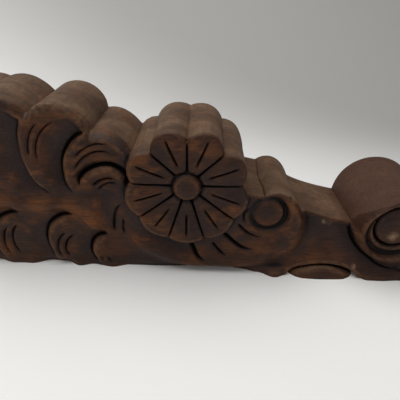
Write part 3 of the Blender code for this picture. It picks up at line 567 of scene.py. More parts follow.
def carve_scroll(d, p, top):
    """The C scroll's raised ribbon, the fingers inside it, and the ball that it curls round."""
    x, z = p[:, 0], p[:, 1]
    dist, share, side = to_curve(p, curve(SCROLL_CREST, LINE_STEP))
    floor = SCROLL_FLOOR + (GROUND_DEPTH - SCROLL_FLOOR) * (1.0 - smooth((x + 5.0) / 15.0))
    within = SCROLL_DEPTH + (floor - SCROLL_DEPTH) * smooth(dist / SCROLL_INSIDE)
    within = np.where(x > -50.0, np.minimum(within, d), d)
    reach = SCROLL_OUTSIDE + SCROLL_SPREAD * smooth((share - 0.55) / 0.2)
    reach = reach * (SCROLL_TIP + (1.0 - SCROLL_TIP) * smooth((1.0 - share) / SCROLL_FADE))
    crest = 1.0 - smooth(dist / reach)
    beyond = d + (np.minimum(SCROLL_DEPTH, d) - d) * crest
    d = d + (np.where(side > 0, within, beyond) - d) * smooth(share / 0.12)
    for points, width in FINGER_CUTS:
        line = curve(points, LINE_STEP)
        for broad, deep in ((FINGER_ROUND, FINGER_SINK), (0.7 * width, FINGER_STEEP * width)):
            d = v_cut(d, p, line, broad, deep, 0.12, 0.6)
    ring = np.hypot(x - BALL_GROOVE_X, z - BALL_GROOVE_Z) - BALL_GROOVE_RADIUS
    lean = (x - BALL_X - z + BALL_Z) / BALL_GROOVE_RADIUS
    cut = np.exp(-((2.0 * ring / BALL_GROOVE_WIDTH) ** 2)) * smooth((top - z) / 3.0)
    cut = cut * (0.55 + 0.45 * smooth(0.5 * lean + 0.75))
    d = d + (np.maximum(BALL_GROOVE_DEPTH, d) - d) * cut
    r = np.hypot(x - BALL_X, z - BALL_Z) / BALL_RADIUS
    dome = BALL_GROOVE_DEPTH - BALL_RISE * falling(r**2) ** 0.7
    return np.where(r < 1.0, np.minimum(d, dome), d)


def carve_arch(d, p):
    """The arch cut under the saddle, with a rounded pellet left standing in it."""
    x, z = p[:, 0], p[:, 1]
    across = (2.0 * x - ARCH_LEFT - ARCH_RIGHT) / (ARCH_RIGHT - ARCH_LEFT)
    below = ARCH_HEIGHT * np.sqrt(falling(across**2)) - z
    cut = d + (ARCH_CUT - d) * smooth(below / WALL)
    gap = ARCH_GROOVE * (1.0 + np.abs(across))
    rise = np.clip((below - gap) / (ARCH_HEIGHT - gap), 0.0, 1.0)
    pellet = PELLET_DEPTH + (PELLET_EDGE - PELLET_DEPTH) * (1.0 - rise) ** 1.6 + PELLET_EDGE * across**6
    return np.where(below > 0, cut + (np.minimum(pellet, cut) - cut) * smooth((below - gap) / WALL + 0.5), d)


def volute_limit(x, z):
    """Distance from the volute's centre, the angle round it, and the reach of its ring there."""
    turn = np.mod(np.degrees(np.arctan2(z - VOLUTE_Z, x - VOLUTE_X)), 360.0)
    return np.hypot(x - VOLUTE_X, z - VOLUTE_Z), turn, np.interp(turn, *zip(*RING_REACH))


def ring_radius(angle):
    """Radius of the spiral ring round the eye, at angles in degrees past the one straight up."""
    return RING_START + (RING_RADIUS - RING_START) * smooth((angle - 30.0) / 130.0)


def carve_volute(d, p, back):
    """The end volute: a spiral ring round a domed eye, its rim falling back to the outline."""
    x, z = p[:, 0], p[:, 1]
    far, turn, limit = volute_limit(x, z)
    r = np.hypot(x - EYE_X, z - EYE_Z)
    angle = np.mod(np.degrees(np.arctan2(z - EYE_Z, x - EYE_X)) - 90.0, 360.0)
    ring = np.minimum(ring_radius(angle), r + limit - far - RIM_LAND)
    past = np.maximum(r - ring, 0.0)
    share = past / np.maximum(past + np.maximum(limit - far, 0.0), 0.01)
    rim = np.interp(turn, *zip(*RIM_DEPTHS)) * (BACK_ARRIS if back else 1.0)
    rim = rim + (d - rim) * between(turn, *RIM_JOIN)
    outer = RING_DEPTH + (rim - RING_DEPTH) * share**1.3
    wall = np.clip((r - EYE_RADIUS) / np.maximum(ring - EYE_RADIUS, 1.0), 0.0, 1.0)
    valley = eased(wall, EYE_VALLEY)
    eye = EYE_GROOVE - EYE_RISE * np.sqrt(falling((r / EYE_RADIUS) ** 2))
    snug = falling(np.abs(r - EYE_RADIUS) * 2.0 / EYE_CUT_WIDTH)
    valley, eye = (side + EYE_CUT_DEPTH * snug for side in (valley, eye))
    face = np.where(r > ring, outer, np.where(r > EYE_RADIUS, valley, eye))
    groove = falling(np.abs(far - limit) * 2.0 / RIM_GROOVE_WIDTH)
    groove = groove * between(turn, *GROOVE_RUN)
    weight = smooth((limit - far) / WALL + 1.0)
    return np.where(x > VOLUTE_FROM, d + (face - d) * weight + RIM_GROOVE_DEPTH * groove, d)


def carve_flower(d, p, back):
    """Nine dished petals round a boss, standing off the ground like a disc with a scalloped rim."""
    r = np.hypot(p[:, 0], p[:, 1] - FLOWER_Z)
    angle = np.degrees(np.arctan2(p[:, 1] - FLOWER_Z, p[:, 0]))
    across, middle = petal_place(angle)
    rim = flower_radius(angle, back)
    share = np.clip((r - BOSS_RADIUS) / (FLOWER_RADIUS - BOSS_RADIUS), 0.0, 1.0)
    face = FLOWER_DEPTH + PETAL_DISH * (1.0 - smooth(share * 1.3))
    face = face + PETAL_CROWN * (2.0 * across - 1.0) ** 2
    face = face + PETAL_ROUND * falling((rim - r) / PETAL_ROUND) ** 2
    cuts = np.array(notch_angles())
    off = np.abs(np.mod(angle[:, None] - cuts[None, :] + 180.0, 360.0) - 180.0).min(axis=1)
    gap = r * np.sin(np.radians(np.minimum(off, 90.0)))
    face = face + DIVIDE_DEPTH * falling(2.0 * gap / DIVIDE_WIDTH)
    gap = r * np.abs(np.sin(np.radians(angle - middle)))
    start = MIDRIB_FROM + MIDRIB_LATE * smooth(-np.sin(np.radians(middle)))
    along = between(r, start, 3.0, MIDRIB_TO, 4.0)
    face = face + MIDRIB_DEPTH * along * falling(2.0 * gap / MIDRIB_WIDTH)
    ring = falling(np.abs(r - BOSS_RADIUS) / BOSS_RING)
    boss = FLOWER_DEPTH + PETAL_DISH * (1.0 - np.sqrt(falling((r / BOSS_RADIUS) ** 2)))
    face = np.where(r < BOSS_RADIUS, boss, face) + BOSS_CUT * ring
    return d + (face - d) * (1.0 - smooth((r - rim) / WALL))


def face_depth(p, back):
    """Depth of one carved face at each point of the outline's plane."""
    top = top_height(p[:, 0], back)
    d = base_depth(p, top, back)
    d = carve_leaf(d, p, top)
    d = carve_scroll(d, p, top)
    d = carve_foot(d, p)
    d = carve_arch(d, p)
    d = carve_volute(d, p, back)
    d = carve_flower(d, p, back)
    return np.maximum(d, 0.0)


def beside(line, off):
    """A line moved to its left."""
    way = np.gradient(line, axis=0)
    way /= np.linalg.norm(way, axis=1)[:, None]
    return line + off * np.stack((-way[:, 1], way[:, 0]), 1)


def round_point(x, z, radius, turn):
    """Points at some angles, in radians, round a centre."""
    return np.stack((x + radius * np.cos(turn), z + radius * np.sin(turn)), 1)


def circle(x, z, radius, start, end, step):
    count = pieces(radius * radians(abs(end - start)), step)
    turn = np.radians(start + (end - start) * np.arange(count + 1) / count)
    return round_point(x, z, radius, turn)


def spokes(angle, stops, width):
    """The bottom and both edges of a cut that runs out from the flower's centre."""
    way = np.array((cos(angle), sin(angle)))
    side = np.array((-way[1], way[0]))
    offs = (0.0, width / 2, -width / 2)
    return [np.array([way * s + side * off + (0.0, FLOWER_Z) for s in stops]) for off in offs]


def crease_lines(back, step):
    """The lines that the faces have to follow: edges of the carved forms and the bottoms of the cuts."""
    lines = []
    for points in [e[0] for e in UPPER_EDGES + LOWER_EDGES]:
        line = curve(points, step)
        lines += [line, beside(line, WALL)]
    lines.append(curve(SCROLL_CREST, step))
    cuts = notch_angles()
    for points in VEINS + (HOOK_LINE,):
        line = curve(points, step)[1:-1]
        lines += [line, beside(line, VEIN_WIDTH / 2)[1:-1], beside(line, -VEIN_WIDTH / 2)[1:-1]]
    for points, width in FINGER_CUTS:
        line = curve(points, step)
        lines += [line, beside(line, width / 2), beside(line, -width / 2)]
    turn = np.arange(flower_meets_leaf(back), 360.0 + RIM_RIGHT, degrees(step / FLOWER_RADIUS))
    rim = np.append(turn, [a % 360.0 for a in cuts])
    rim = np.unique(rim[(rim > turn[0] + 1) & (rim < turn[-1])])
    for off in (0.0, WALL):
        lines.append(round_point(0.0, FLOWER_Z, flower_radius(rim, back) + off, np.radians(rim)))
    for a in cuts:
        stops = np.linspace(BOSS_RADIUS + 2.0, float(flower_radius(a, back)) - 1.5, 4)
        lines += spokes(radians(a), stops, DIVIDE_WIDTH)
    for low, high in zip(cuts, cuts[1:] + [cuts[0] - 360.0]):
        middle = radians(0.5 * (low + high))
        start = MIDRIB_FROM + MIDRIB_LATE * float(smooth(-sin(middle)))
        lines += spokes(middle, np.linspace(start, MIDRIB_TO, 5), MIDRIB_WIDTH)
    for x, z, radius in (
        (0.0, FLOWER_Z, BOSS_RADIUS), (BALL_X, BALL_Z, BALL_RADIUS), (EYE_X, EYE_Z, EYE_RADIUS),
    ):
        lines.append(circle(x, z, radius, 0.0, 340.0, step))
        lines.append(circle(x, z, DOME_RING * radius, 0.0, 325.0, step))
    lip = BALL_GROOVE_RADIUS + 0.5 * BALL_GROOVE_WIDTH
    lines.append(circle(BALL_GROOVE_X, BALL_GROOVE_Z, lip, 200.0, 460.0, step))
    crest = circle(EYE_X, EYE_Z, 1.0, 130.0, 350.0, step / RING_RADIUS)
    around = ring_radius(np.linspace(40.0, 260.0, len(crest)))[:, None]
    lines.append((crest - (EYE_X, EYE_Z)) * around + (EYE_X, EYE_Z))
    spiral = circle(VOLUTE_X, VOLUTE_Z, 1.0, 178.0, 300.0, 0.1)
    limit = volute_limit(spiral[:, 0], spiral[:, 1])[2][:, None]
    for off in (0.0, WALL):
        lines.append((spiral - (VOLUTE_X, VOLUTE_Z)) * (limit + off) + (VOLUTE_X, VOLUTE_Z))
    middle = 0.5 * (ARCH_LEFT + ARCH_RIGHT)
    half = 0.5 * (ARCH_RIGHT - ARCH_LEFT)
    turn = np.radians(np.linspace(12.0, 168.0, 14))
    for inset in (0.0, 1.0):
        across, up = (half - inset) * np.cos(turn), (ARCH_HEIGHT - inset) * np.sin(turn)
        lines.append(np.stack((middle + across, up), 1))
    return lines


def inside(p, rim):
    """Which points lie inside a closed outline."""
    x, z = p[:, 0], p[:, 1]
    odd = np.zeros(len(p), bool)
    for (ax, az), (bx, bz) in zip(rim, np.roll(rim, -1, axis=0)):
        if az == bz:
            continue
        odd ^= ((az > z) != (bz > z)) & (x < ax + (bx - ax) * (z - az) / (bz - az))
    return odd


# How finely the skin is cut, in millimetres: the fill of each face, its creases, and the band round the edge
FRONT_GRID = 1.15
BACK_GRID = 2.2
RIM_STEP = 1.2
FRONT_CREASE = 0.9
BACK_CREASE = 2.0
BAND_STEP = 2.8
# As shares of the grid: the rise from row to row, and what is kept clear at the rim and round each point
ROW_RISE = 0.866
CREASE_CLEAR = 0.4
FILL_CLEAR = 0.55
# Edges that turn by more degrees than this stay sharp
SHARP_ANGLE = 62.0

# The depth chart's cell, how widely it is blurred for the cuts, the hollows and the slopes, and the
# slopes that are too steep to show the tool's facets
CHART_CELL = 0.7
NEAR_BLURS = (0.5, 1.8)
WIDE_BLUR = 9.0
SLOPE_BLUR = 0.8
STEEP_FROM = 0.8
STEEP_SPAN = 1.2

# The hand's unevenness: how far the tool wandered, over what length, how far the flat foot and end are
# kept clear of the saw's, and the torn grain of the bevels
GOUGE_SWING = 0.30
GOUGE_LENGTH = 11.0
CHATTER_SWING = 0.12
CHATTER_LENGTH = 3.0
SAW_SWING = 0.35
SAW_LENGTH = 7.0
SAW_EASE = 4.0
FACE_CLEAR = (2.0, 3.0)
TORN_SWING = 0.55
TORN_LENGTH = 1.6
TORN_LEFT = -121.0
TORN_RIGHT = -70.0
TORN_FADE = 6.0
TORN_DRAW = 0.35
SCUFF_SWING = 0.9
SCUFF_LENGTH = 4.0

# Every edge is rubbed round, and less so at the foot; beside the outline the colour is drawn lighter, partly
# as wear and partly as a painted edge highlight
EDGE_ROUND = 1.8
EDGE_DROP = 1.2
FOOT_SHARE = 0.25
FOOT_NEAR = 6.0
EDGE_CLEAR = 4.0
EDGE_WORN_AND_HIGHLIT = 0.3

# Places knocked or rubbed bare of stain, and on the volute's eye a painted highlight laid on as bare wood: x,
# z and radius
BARE_AND_HIGHLIGHT_SPOTS = ((145.0, 10.1, 3.0), (169.1, 43.8, 7.0), (117.0, 46.5, 3.2), (121.5, 45.5, 2.6))

# The drying crack across the ledge, with painted shade in it, and how dark the painted shade in the valleys
# between the lobes is
CRACK_HALF = 0.25
CRACK_DEEP = 1.6
CRACK_WANDER = 0.6
CRACK_LEAN = 2.2
CRACK_FADE = 2.5
CRACK_BENDS = 9.0
VALLEY_SHADE = 0.5

# The photograph's camera, in metres and degrees
CAMERA_X = 0.0105
CAMERA_AWAY = 0.270
CAMERA_HEIGHT = 0.226
CAMERA_PITCH = 29.1
CAMERA_ROLL = 1.5
CAMERA_LENS = 36.0

# Darker spots (below 0), partly a darker stain and partly painted shade, most of all on the flower's lower
# petals, the ball and the pellet, and spots worn to orange (above 0): x, z, radius and how much
TINT_SPOTS = (
    (10, 47, 26, -0.7), (38, 74, 24, -0.6), (-12, 60, 20, -0.5), (0, 83.5, 14, -0.6),
    (-30, 70, 16, -0.4), (64, 61, 16, -0.6), (118, 4, 30, -0.5), (160, 56, 18, -0.6),
    (166, 20, 20, -0.3), (-30, 10, 34, -0.5), (28, 8, 30, -0.3),
    (-126, 104, 16, -0.2), (-133, 22, 14, -0.3), (-88, 18, 11, -0.3),
    (-150, 61, 20, 0.6), (-120, 60, 22, 0.7), (-96, 58, 18, 0.8), (-80, 50, 18, 0.8),
    (-70, 40, 12, 0.5), (-14, 121, 10, 0.8), (-39, 105, 9, 0.6), (36, 67, 10, 1.2),
    (21, 60, 9, 0.9), (-20, 56, 8, 0.5), (17, 118, 10, 0.4), (-70, 106, 16, 0.5),
    (-65, 86, 10, 0.5), (-108, 120, 12, 0.3), (108, 24, 20, 0.4), (55, 30, 18, 0.3),
    (34, 98, 15, -0.6), (-21, 108, 11, -0.5), (20, 110, 10, -0.3),
)


def grainy(x, y, z, length, seed):
    """Smooth noise from -1 to 1 whose lumps are about one length across."""
    return np.array([noise.noise(Vector(q)) for q in zip(x / length + seed, y / length, z / length)])


def worked_depth(flat, back, rim, chart):
    """The carved depth with the gouge's facets, torn grain on the leaf's bevel and bruised edges."""
    x, z = flat[:, 0], flat[:, 1]
    seed = 40.0 if back else 0.0
    d = face_depth(flat, back)
    calm = 1.0 - smooth((chart.read(chart.steep, flat) - STEEP_FROM) / STEEP_SPAN)
    d = d + GOUGE_SWING * calm * grainy(x, 0 * x, z, GOUGE_LENGTH, seed)
    d = d + CHATTER_SWING * calm * grainy(x, 0 * x, z, CHATTER_LENGTH, seed + 9)
    top = top_height(x, back)
    edge = falling((top - z) / TOP_ROUND)
    torn = edge * between(x, TORN_LEFT, TORN_FADE, TORN_RIGHT, TORN_FADE)
    d = d + TORN_SWING * torn * grainy(TORN_DRAW * x, 0 * x, z, TORN_LENGTH, seed + 17)
    d = d + SCUFF_SWING * edge**4 * np.maximum(0.0, grainy(x, 0 * x, z, SCUFF_LENGTH, seed + 23))
    gap = to_curve(flat, np.vstack((rim, rim[:1])))[0]
    clear = FOOT_SHARE + (1.0 - FOOT_SHARE) * smooth(z / FOOT_NEAR)
    d = d + EDGE_DROP * clear * falling(gap / EDGE_ROUND) ** 2
    return np.maximum(d, 0.0), torn, smooth((gap - 0.4) / EDGE_CLEAR)


def bare_and_highlight_share(flat):
    """How bare of stain each point is, from 0 to 1; on the volute's eye this is a painted highlight."""
    spots = [1.0 - smooth(np.hypot(flat[:, 0] - x, flat[:, 1] - z) / r) for x, z, r in BARE_AND_HIGHLIGHT_SPOTS]
    return np.max(spots, axis=0)


def tint(flat):
    """How much darker or more worn than the rest each point is, from -1 to 1."""
    total = 0.0
    for x, z, radius, amount in TINT_SPOTS:
        total = total + amount * (1.0 - smooth(np.hypot(flat[:, 0] - x, flat[:, 1] - z) / radius))
    return np.clip(total, -1.0, 1.0)


def with_crack(rim):
    """The rim with two more points close beside the crack, for its lips."""
    k = int(np.argmin(np.hypot(rim[:, 0] - CRACK_X, rim[:, 1] - lobe_top("bump", CRACK_X))))
    ahead = (rim[k + 1] - rim[k]) / np.linalg.norm(rim[k + 1] - rim[k])
    behind = (rim[k - 1] - rim[k]) / np.linalg.norm(rim[k - 1] - rim[k])
    lips = rim[k] + CRACK_HALF * behind, rim[k] + CRACK_HALF * ahead
    return np.vstack((rim[:k], lips[0], rim[k], lips[1], rim[k + 1:])), k + 1


def fine_points(rim, lines, grid):
    """Points and edges of one face: its outline, its creases, and an even fill between them."""
    closed = np.vstack((rim, rim[:1]))
    points = list(rim)
    edges = [(k, (k + 1) % len(rim)) for k in range(len(rim))]
    for line in lines:
        keep = inside(line, rim) & (to_curve(line, closed)[0] > CREASE_CLEAR * grid)
        last = None
        for q, good in zip(line, keep):
            if good:
                points.append(q)
                if last is not None:
                    edges.append((last, len(points) - 1))
                last = len(points) - 1
            else:
                last = None
    taken = np.array(points)
    low, high = taken.min(axis=0), taken.max(axis=0)
    rows = np.arange(low[1] + grid / 2, high[1], grid * ROW_RISE)
    across = np.arange(low[0], high[0], grid)
    fill = np.array([(x + grid / 2 * (k % 2), z) for k, z in enumerate(rows) for x in across])
    fill = fill[inside(fill, rim)]
    tree = KDTree(len(taken))
    for k, (x, z) in enumerate(taken):
        tree.insert((x, z, 0.0), k)
    tree.balance()
    gap = np.array([tree.find((x, z, 0.0))[2] for x, z in fill])
    return np.vstack((taken, fill[gap > FILL_CLEAR * grid])), edges


def fine_face(back, rim, grid, step):
    """One face as a fine triangulation: flat points, triangles, and where the outline's points went."""
    points, edges = fine_points(rim, crease_lines(back, step), grid)
    made = delaunay_2d_cdt([Vector(q) for q in points], edges, [list(range(len(rim)))], 1, 1e-5)
    place = {}
    for index, sources in enumerate(made[3]):
        for source in sources:
            if source < len(rim):
                place[source] = index
    return np.array([tuple(v) for v in made[0]]), made[2], [place[k] for k in range(len(rim))]


def blurred(depth, mask, spread):
    """A depth map smoothed inside its mask by a bell curve, its spread given in cells."""
    reach = int(3 * spread)
    bell = np.exp(-0.5 * (np.arange(-reach, reach + 1) / spread) ** 2)

    def swept(grid):
        for axis in (0, 1):
            grid = np.apply_along_axis(lambda row: np.convolve(row, bell, "same"), axis, grid)
        return grid

    return swept(depth * mask) / np.maximum(swept(mask), 1e-6)


class Chart:
    """A face's depths on an even grid: how far each spot lies below its surroundings, and how steep it is."""

    def __init__(self, back, rim, cell=CHART_CELL):
        self.cell = cell
        self.low = rim.min(axis=0) - 2.0
        high = rim.max(axis=0) + 2.0
        axes = [np.arange(self.low[k], high[k], cell) for k in (0, 1)]
        grid = np.stack(np.meshgrid(*axes, indexing="ij"), -1)
        flat = grid.reshape(-1, 2)
        mask = inside(flat, rim).reshape(grid.shape[:2]).astype(float)
        depth = face_depth(flat, back).reshape(grid.shape[:2])
        sharp, soft = (blurred(depth, mask, spread / cell) for spread in NEAR_BLURS)
        self.near = sharp - soft
        self.wide = depth - blurred(depth, mask, WIDE_BLUR / cell)
        self.steep = np.hypot(*np.gradient(blurred(depth, mask, SLOPE_BLUR / cell), cell))

    def read(self, grid, p):
        """A value between the cells at each point."""
        u = np.clip((p - self.low) / self.cell, 0, np.array(grid.shape) - 1.001)
        i = u.astype(int)
        f = u - i
        a = grid[i[:, 0], i[:, 1]] * (1 - f[:, 0]) + grid[i[:, 0] + 1, i[:, 1]] * f[:, 0]
        b = grid[i[:, 0], i[:, 1] + 1] * (1 - f[:, 0]) + grid[i[:, 0] + 1, i[:, 1] + 1] * f[:, 0]
        return a * (1 - f[:, 1]) + b * f[:, 1]


def band_rows(front, rear, crack):
    """Rows of points between the front and rear outlines, sawn a little uneven, with the crack sunk in, and
    the painted shade of the valleys and the crack.
    """
    way = np.roll(front, -1, axis=0) - np.roll(front, 1, axis=0)
    way /= np.maximum(np.linalg.norm(way, axis=1), 1e-6)[:, None]
    inward = np.stack((-way[:, 2], 0.0 * way[:, 0], way[:, 0]), 1)
    turning = np.cross(np.roll(way, 1, axis=0), np.roll(way, -1, axis=0))[:, 1]
    count = round(THICKNESS / BAND_STEP)
    standing = smooth(front[:, 2] / FACE_CLEAR[0]) * smooth((front[:, 0] - LEFT_END) / FACE_CLEAR[1])
    for k in range(1, count):
        share = k / count
        row = front + (rear - front) * share
        swing = SAW_SWING * (0.5 + 0.5 * grainy(row[:, 0], 0.25 * row[:, 1], row[:, 2], SAW_LENGTH, 61.0))
        sunk = swing * standing * min(1.0, SAW_EASE * share, SAW_EASE * (1.0 - share))
        sunk[crack] += CRACK_DEEP * smooth(CRACK_FADE - CRACK_FADE * share)
        row[crack - 1:crack + 2, 0] += CRACK_WANDER * sin(CRACK_BENDS * share) * min(1.0, 6.0 * share)
        # Painted shade: the band darkens in the valleys where its outline turns in, and in the crack towards
        # the front.
        valley_and_crack_shade = VALLEY_SHADE * np.maximum(0.0, turning - 0.3)
        valley_and_crack_shade[crack] += 1.0 - smooth(3.0 * share - 1.6)
        row[crack - 1:crack + 2, 0] += CRACK_LEAN * (share - 1.0) * share
        yield row + inward * sunk[:, None], valley_and_crack_shade


def carved_block():
    """The whole block as one closed skin, with what the finish needs to know of each of its points."""
    rims = [with_crack(loop(back, RIM_STEP)) for back in (False, True)]
    crack = rims[0][1]
    verts, faces, rings = [], [], []
    marks = {"near": [], "wide": [], "band": [], "torn": [], "bare_and_highlight": [], "tint": []}

    def mark(*rows):
        for name, values in zip(marks, rows):
            marks[name] += list(values)

    for back, grid, crease in ((False, FRONT_GRID, FRONT_CREASE), (True, BACK_GRID, BACK_CREASE)):
        rim = rims[int(back)][0]
        flat, cut, ring = fine_face(back, rim, grid, crease)
        chart = Chart(back, rim)
        depth, torn, clear = worked_depth(flat, back, rim, chart)
        near = chart.read(chart.near, flat) * clear - EDGE_WORN_AND_HIGHLIT * (1.0 - clear)
        wide = chart.read(chart.wide, flat) * clear
        shift = len(verts)
        y = THICKNESS / 2 - BACK_SHARE * depth if back else depth - THICKNESS / 2
        faces += [tuple(shift + k for k in (reversed(f) if back else f)) for f in cut]
        verts += list(zip(flat[:, 0], y, flat[:, 1]))
        mark(near, wide, 0.0 * y, torn, bare_and_highlight_share(flat), tint(flat))
        rings.append([shift + k for k in ring])
    front, rear = (np.array([verts[k] for k in ring]) for ring in rings)
    last = rings[0]
    # Each row's second value is its painted shade, kept as near so that it darkens like the cuts.
    for row, turning in band_rows(front, rear, crack):
        ring = list(range(len(verts), len(verts) + len(row)))
        verts += [tuple(v) for v in row]
        none = 0.0 * turning
        mark(turning, none, none + 1.0, none, none, none)
        faces += [(last[a - 1], ring[a - 1], ring[a], last[a]) for a in range(len(ring))]
        last = ring
    ring = rings[1]
    faces += [(last[a - 1], ring[a - 1], ring[a], last[a]) for a in range(len(ring))]
    mesh = bpy.data.meshes.new("corbel_carved")
    verts = np.clip(MM * np.array(verts), *cad_box)
    mesh.from_pydata([tuple(v) for v in verts.tolist()], [], faces)
    for name, values in marks.items():
        mesh.attributes.new(name, "FLOAT", "POINT").data.foreach_set("value", [float(v) for v in values])
    mesh.shade_smooth()
    mesh.set_sharp_from_angle(angle=radians(SHARP_ANGLE))
    mesh.update()
    piece = bpy.data.objects.new("corbel_carved", mesh)
    bpy.context.scene.collection.objects.link(piece)
    return piece


class Nodes:
    """A material's node tree, built up line by line."""

    def __init__(self, name):
        self.material = bpy.data.materials.new(name)
        self.material.use_nodes = True
        self.tree = self.material.node_tree
        self.shader = self.tree.nodes["Principled BSDF"]
        self.count = 0

    def add(self, kind, inputs=(), **settings):
        """A node with its settings, and its inputs set to a value or linked to a socket."""
        made = self.tree.nodes.new(kind)
        made.location = (-200 * (self.count % 8) - 300, -220 * (self.count // 8))
        self.count += 1
        for key, value in settings.items():
            setattr(made, key, value)
        for socket, value in dict(inputs).items():
            self.put(made.inputs[socket], value)
        return made

    def put(self, socket, value):
        if isinstance(value, bpy.types.NodeSocket):
            self.tree.links.new(value, socket)
        else:
            socket.default_value = value

    def read(self, name):
        return self.add("ShaderNodeAttribute", attribute_name=name).outputs["Fac"]

    def noise(self, scale, detail=4.0, roughness=0.55, distortion=0.0):
        """Noise whose cells are as many to the metre as scale says along each axis."""
        place = self.add("ShaderNodeTexCoord").outputs["Object"]
        mapped = self.add("ShaderNodeMapping", {"Vector": place, "Scale": scale}).outputs["Vector"]
        settings = {"Vector": mapped, "Scale": 1.0, "Detail": detail, "Roughness": roughness}
        settings["Distortion"] = distortion
        return self.add("ShaderNodeTexNoise", settings).outputs["Fac"]

    def span(self, value, low, high, bottom=0.0, top=1.0):
        """A value's run from low to high, spread smoothly over bottom to top and held there."""
        inputs = {0: value, 1: low, 2: high, 3: bottom, 4: top}
        made = self.add("ShaderNodeMapRange", inputs, interpolation_type="SMOOTHSTEP")
        return made.outputs[0]

    def maths(self, operation, first, *others):
        """One operation over two values or more."""
        for other in others:
            first = self.add("ShaderNodeMath", {0: first, 1: other}, operation=operation).outputs[0]
        return first

    def times(self, *values):
        return self.maths("MULTIPLY", *values)

    def mix(self, factor, a, b, blend="MIX"):
        made = self.add("ShaderNodeMix", data_type="RGBA", blend_type=blend)
        for socket, value in ((0, factor), (6, a), (7, b)):
            self.put(made.inputs[socket], (*value, 1.0) if isinstance(value, tuple) else value)
        return made.outputs[2]


# The wood's colours: stain on the flats, stain with painted shade in the shallow and deep hollows, the pores'
# dark and the painted near black shade of the cuts, worn high spots, faded tops, the redder volute, and bare
# wood that also paints a highlight
STAIN = (0.033, 0.0165, 0.0115)
STAIN_LIGHT = (0.070, 0.029, 0.0150)
PLUM_STAIN_AND_SHADE = (0.034, 0.0220, 0.0215)
DARK_STAIN_AND_SHADE = (0.021, 0.0130, 0.0135)
PORE_AND_CUT_SHADE = (0.0035, 0.0022, 0.0020)
WORN = (0.165, 0.060, 0.017)
FADED = (0.170, 0.108, 0.066)
FADED_DARK = (0.082, 0.046, 0.028)
REDDISH = (0.078, 0.037, 0.025)
PALE_WOOD_AND_HIGHLIGHT = (0.220, 0.140, 0.085)
SHINE = 0.16


